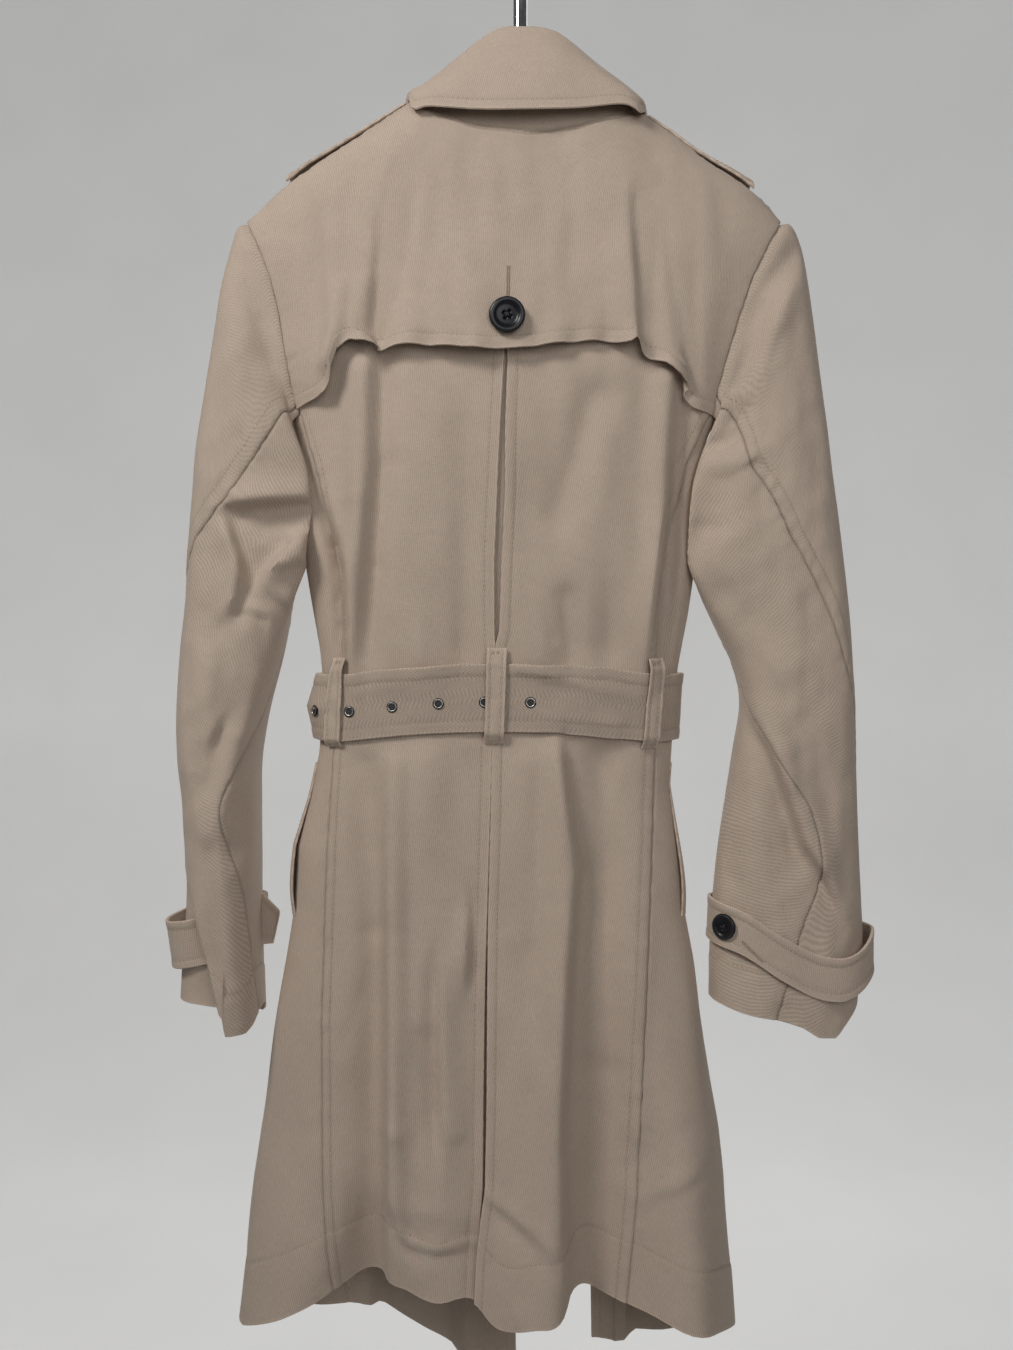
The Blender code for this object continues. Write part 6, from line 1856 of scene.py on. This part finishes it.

# Eyelets: six rolled rings of dark plated metal, pressed through the belt in a row and worn bright at the
# edge. The dark disc in each is painted shade that fills the hole.
EYELET_X = (-153.0, -122.6, -92, -59.5, -26.5, 6.5)
EYELET_SHAPE = [
    (2.3, 0.1), (2.3, 0.5), (2.45, 0.9), (2.75, 1.12), (3.1, 1.15), (3.5, 1.0), (3.85, 0.72), (4.05, 0.35),
    (3.9, -0.1), (2.6, -0.1),
]
EYELET_SIDES = 48
HOLE_RADIUS = 2.5
HOLE_SIDES = 24


def dark_metal():
    """Dark plated metal: bright where the raised edge has worn, stained in its hollows."""
    material, tree, shader = nodes_of("dark_metal")
    place = spot_on(tree)
    stain = noise(tree, place, 420.0, 4.0)
    scratch = noise(tree, place, 2200.0, 2.0)
    tone = add(tree, "ShaderNodeAttribute", {"attribute_name": "tone"}).outputs["Fac"]
    worn = sum_of(tree, "MULTIPLY", tone, sum_of(tree, "MULTIPLY_ADD", stain, 1.2, 0.2))
    settle(tree, shader, {
        "Base Color": mixed(tree, worn, (0.022, 0.022, 0.024, 1), (0.62, 0.61, 0.58, 1)),
        "Metallic": 1.0,
        "Roughness": sum_of(tree, "MULTIPLY_ADD", stain, 0.3, 0.2),
        "Normal": raised(tree, 0.25, 0.0001, scratch),
    })
    return material


DARK_METAL = dark_metal()
for number, x in enumerate(EYELET_X, 1):
    if number == 1:
        centre = np.array([[-145.5, -67.0, -600.0]])
    else:
        z = float(belt_height(-3)(x, -90))
        centre = on_back(np.array([x]), np.array([z]), np.array([BELT_OUT + STRAP_CLOTH]))[0]
    gap = np.linalg.norm(belt_grid - centre[0], axis=-1)
    nearest = np.unravel_index(int(np.argmin(gap)), gap.shape)
    place, out = belt_grid[nearest], belt_normals[nearest]
    out, side, other = axes(out)
    points = []
    tones = []
    for radius, height in EYELET_SHAPE:
        points += circle(place + out * (height - 0.15), side, other, radius, EYELET_SIDES)
        tones += [1.0 if 2.4 < radius < 3.2 and height > 0.8 else 0.0] * EYELET_SIDES
    faces = []
    for k in range(len(EYELET_SHAPE)):
        here, ahead = k * EYELET_SIDES, (k + 1) % len(EYELET_SHAPE) * EYELET_SIDES
        for i in range(EYELET_SIDES):
            n = (i + 1) % EYELET_SIDES
            faces.append((here + i, ahead + i, ahead + n, here + n))
    eyelet = mesh_piece("eyelet_ring_%d" % number, points, faces, DARK_METAL, 1.2, tone=tones)
    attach(eyelet, "root")
    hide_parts("eyelet_%d" % number)

    # Painted shade: a dark disc of thread colour closes the hole where its shade falls.
    points = [place + out * 0.35]
    for height in (0.25, -0.3):
        points += circle(place + out * height, side, other, HOLE_RADIUS, HOLE_SIDES)
    faces = [(0, 1 + i, 1 + (i + 1) % HOLE_SIDES) for i in range(HOLE_SIDES)]
    for i in range(HOLE_SIDES):
        n = (i + 1) % HOLE_SIDES
        faces.append((1 + i, 1 + HOLE_SIDES + i, 1 + HOLE_SIDES + n, 1 + n))
    faces.append(tuple(range(1 + HOLE_SIDES, 1 + 2 * HOLE_SIDES))[::-1])
    hole = mesh_piece("eyelet_hole_%d" % number, points, faces, DARK_THREAD, 1.2)
    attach(hole, "root")

# The buckle: a frame of bent round bar in dark metal at the belt's right end, with its prong
# across it. The coat hides it from the room.
BUCKLE_WIDE, BUCKLE_TALL, BUCKLE_CORNER, BUCKLE_BAR = 35, 58.4, 5, 2.3
PRONG_LONG, PRONG = 38, 1.4
end_x, end_y, end_z = round_body(belt_height(0), np.array([0.985]), BELT_OUT + STRAP_CLOTH)[0][0]


def rounded_bar(path, radius, sides, closed):
    """Points and faces of a round bar along points that may close on themselves."""
    path = np.asarray(path, float)
    if closed:
        tangent = np.roll(path, -1, axis=0) - np.roll(path, 1, axis=0)
    else:
        tangent = np.gradient(path, axis=0)
    over = np.array((0, 1.0, 0))
    points = []
    for middle, way in zip(path, unit(tangent)):
        across_it = np.cross(way, over)
        across_it = across_it / np.linalg.norm(across_it)
        points += circle(middle, across_it, np.cross(across_it, way), radius, sides)
    faces = ring_faces(len(path), sides)
    if closed:
        last = (len(path) - 1) * sides
        faces[-2:] = [(last + i, last + (i + 1) % sides, (i + 1) % sides, i) for i in range(sides)]
    return points, faces


outline = rounded_outline(BUCKLE_WIDE, BUCKLE_TALL, BUCKLE_CORNER, 6)
frame_line = [(end_x + x, end_y + 2.6, end_z + z) for x, z in outline]
points, faces = rounded_bar(frame_line, BUCKLE_BAR, 20, True)
buckle = mesh_piece("buckle_frame_bar", points, faces, DARK_METAL, 1.2, tone=[0.3] * len(points))
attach(buckle, "root")
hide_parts("buckle_frame")
prong = []
for part in np.linspace(-1, 1, 24):
    bow = 6.2 + 0.5 * math.cos(part * math.pi / 2)
    prong.append((end_x + part * PRONG_LONG / 2, end_y + bow, end_z))
points, faces = rounded_bar(prong, PRONG, 16, False)
pin = mesh_piece("buckle_prong_pin", points, faces, DARK_METAL, 1.2, tone=[0.3] * len(points))
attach(pin, "root")
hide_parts("buckle_prong")

# Front buttons: four of the same navy plastic, a little smaller, sewn down the left front with
# dark thread, on the side of the wall.
FRONT_BUTTON_X, FRONT_BUTTON = -34.0, 10.5
for number, z in enumerate((-545, -660, -745, -830), 1):
    y = float(body_depth(np.array([FRONT_BUTTON_X]), np.array([float(z)]), -1)[0]) + COVER
    point = np.array([[FRONT_BUTTON_X, y, z]])
    node = "front_button_%d" % number
    button(node, node, point[0], body_normal(point)[0], FRONT_BUTTON, 0.9, 0.3 * number, 48)

# The photograph's view of the coat's back, from the height of its waist, with soft studio
# light from above and a pale floor and backdrop.
SENSOR = 36
FOCAL_PIXELS, PHOTO_PIXELS = 1169, 1350
camera_data = bpy.data.cameras.new("camera")
camera_data.sensor_width = SENSOR
camera_data.lens = SENSOR * FOCAL_PIXELS / PHOTO_PIXELS
camera = placed("camera", camera_data)
camera.location = (-0.010, -0.925, -0.575)
camera.rotation_euler = (math.pi / 2, 0, 0)
bpy.context.scene.camera = camera


def lamp(name, place, target, size, power, colour):
    """A square soft light that faces a target."""
    data = bpy.data.lights.new(name, "AREA")
    data.size = size
    data.energy = power
    data.color = colour
    item = placed(name, data)
    item.location = place
    way = np.array(target, float) - np.array(place, float)
    flat = math.hypot(way[0], way[1])
    item.rotation_euler = (math.atan2(flat, -way[2]), 0, math.atan2(way[1], way[0]) - math.pi / 2)


lamp("overhead", (-0.85, -0.95, 0.5), (0, -0.05, -0.5), 0.4, 12.5, (1.0, 0.975, 0.945))
lamp("front_fill", (0.35, -1.4, -0.1), (0, -0.05, -0.4), 0.9, 6.2, (1.0, 0.985, 0.97))
lamp("rear_fill", (0.6, 2.2, 0.9), (0, 0, -0.5), 1.8, 16, (1.0, 0.99, 0.97))
bpy.context.scene.view_settings.view_transform = "Standard"

world = bpy.data.worlds.new("studio")
world.use_nodes = True
world.node_tree.nodes["Background"].inputs[0].default_value = (0.80, 0.80, 0.80, 1)
world.node_tree.nodes["Background"].inputs[1].default_value = 0.12
bpy.context.scene.world = world


def floor_paint():
    """Pale matt paint with a faint mottle."""
    material, tree, shader = nodes_of("pale_floor")
    place = spot_on(tree)
    colour = mixed(tree, noise(tree, place, 3.0, 5.0), (0.66, 0.66, 0.655, 1), (0.72, 0.72, 0.715, 1))
    height = add(tree, "ShaderNodeSeparateXYZ", _0=place).outputs["Y"]
    glow = add(tree, "ShaderNodeMapRange", Value=height, _1=0.3, _2=1.3, _3=0.0, _4=0.45).outputs[0]
    settle(tree, shader, {
        "Base Color": colour,
        "Roughness": 0.85,
        "Emission Color": colour,
        "Emission Strength": glow,
    })
    return material


FLOOR = -1.9
REACH = 7.0
COVE = 1.2
COVE_START = 2.0
BACKDROP_TOP = 3.6
profile = [(-REACH, FLOOR)]
for a in np.linspace(0, math.pi / 2, 25):
    profile.append((COVE_START + COVE * math.sin(a), FLOOR + COVE - COVE * math.cos(a)))
profile.append((COVE_START + COVE, BACKDROP_TOP))
floor_mesh = bpy.data.meshes.new("floor")
floor_mesh.from_pydata(
    [(side * REACH, y, z) for y, z in profile for side in (-1, 1)],
    [],
    [(2 * k, 2 * k + 1, 2 * k + 3, 2 * k + 2) for k in range(len(profile) - 1)],
)
floor_mesh.shade_smooth()
floor_mesh.materials.append(floor_paint())
floor = placed("floor", floor_mesh)


def plain(values):
    """Numbers of any kind of vector as plain lists."""
    return [[float(v) for v in corner_point] for corner_point in values]
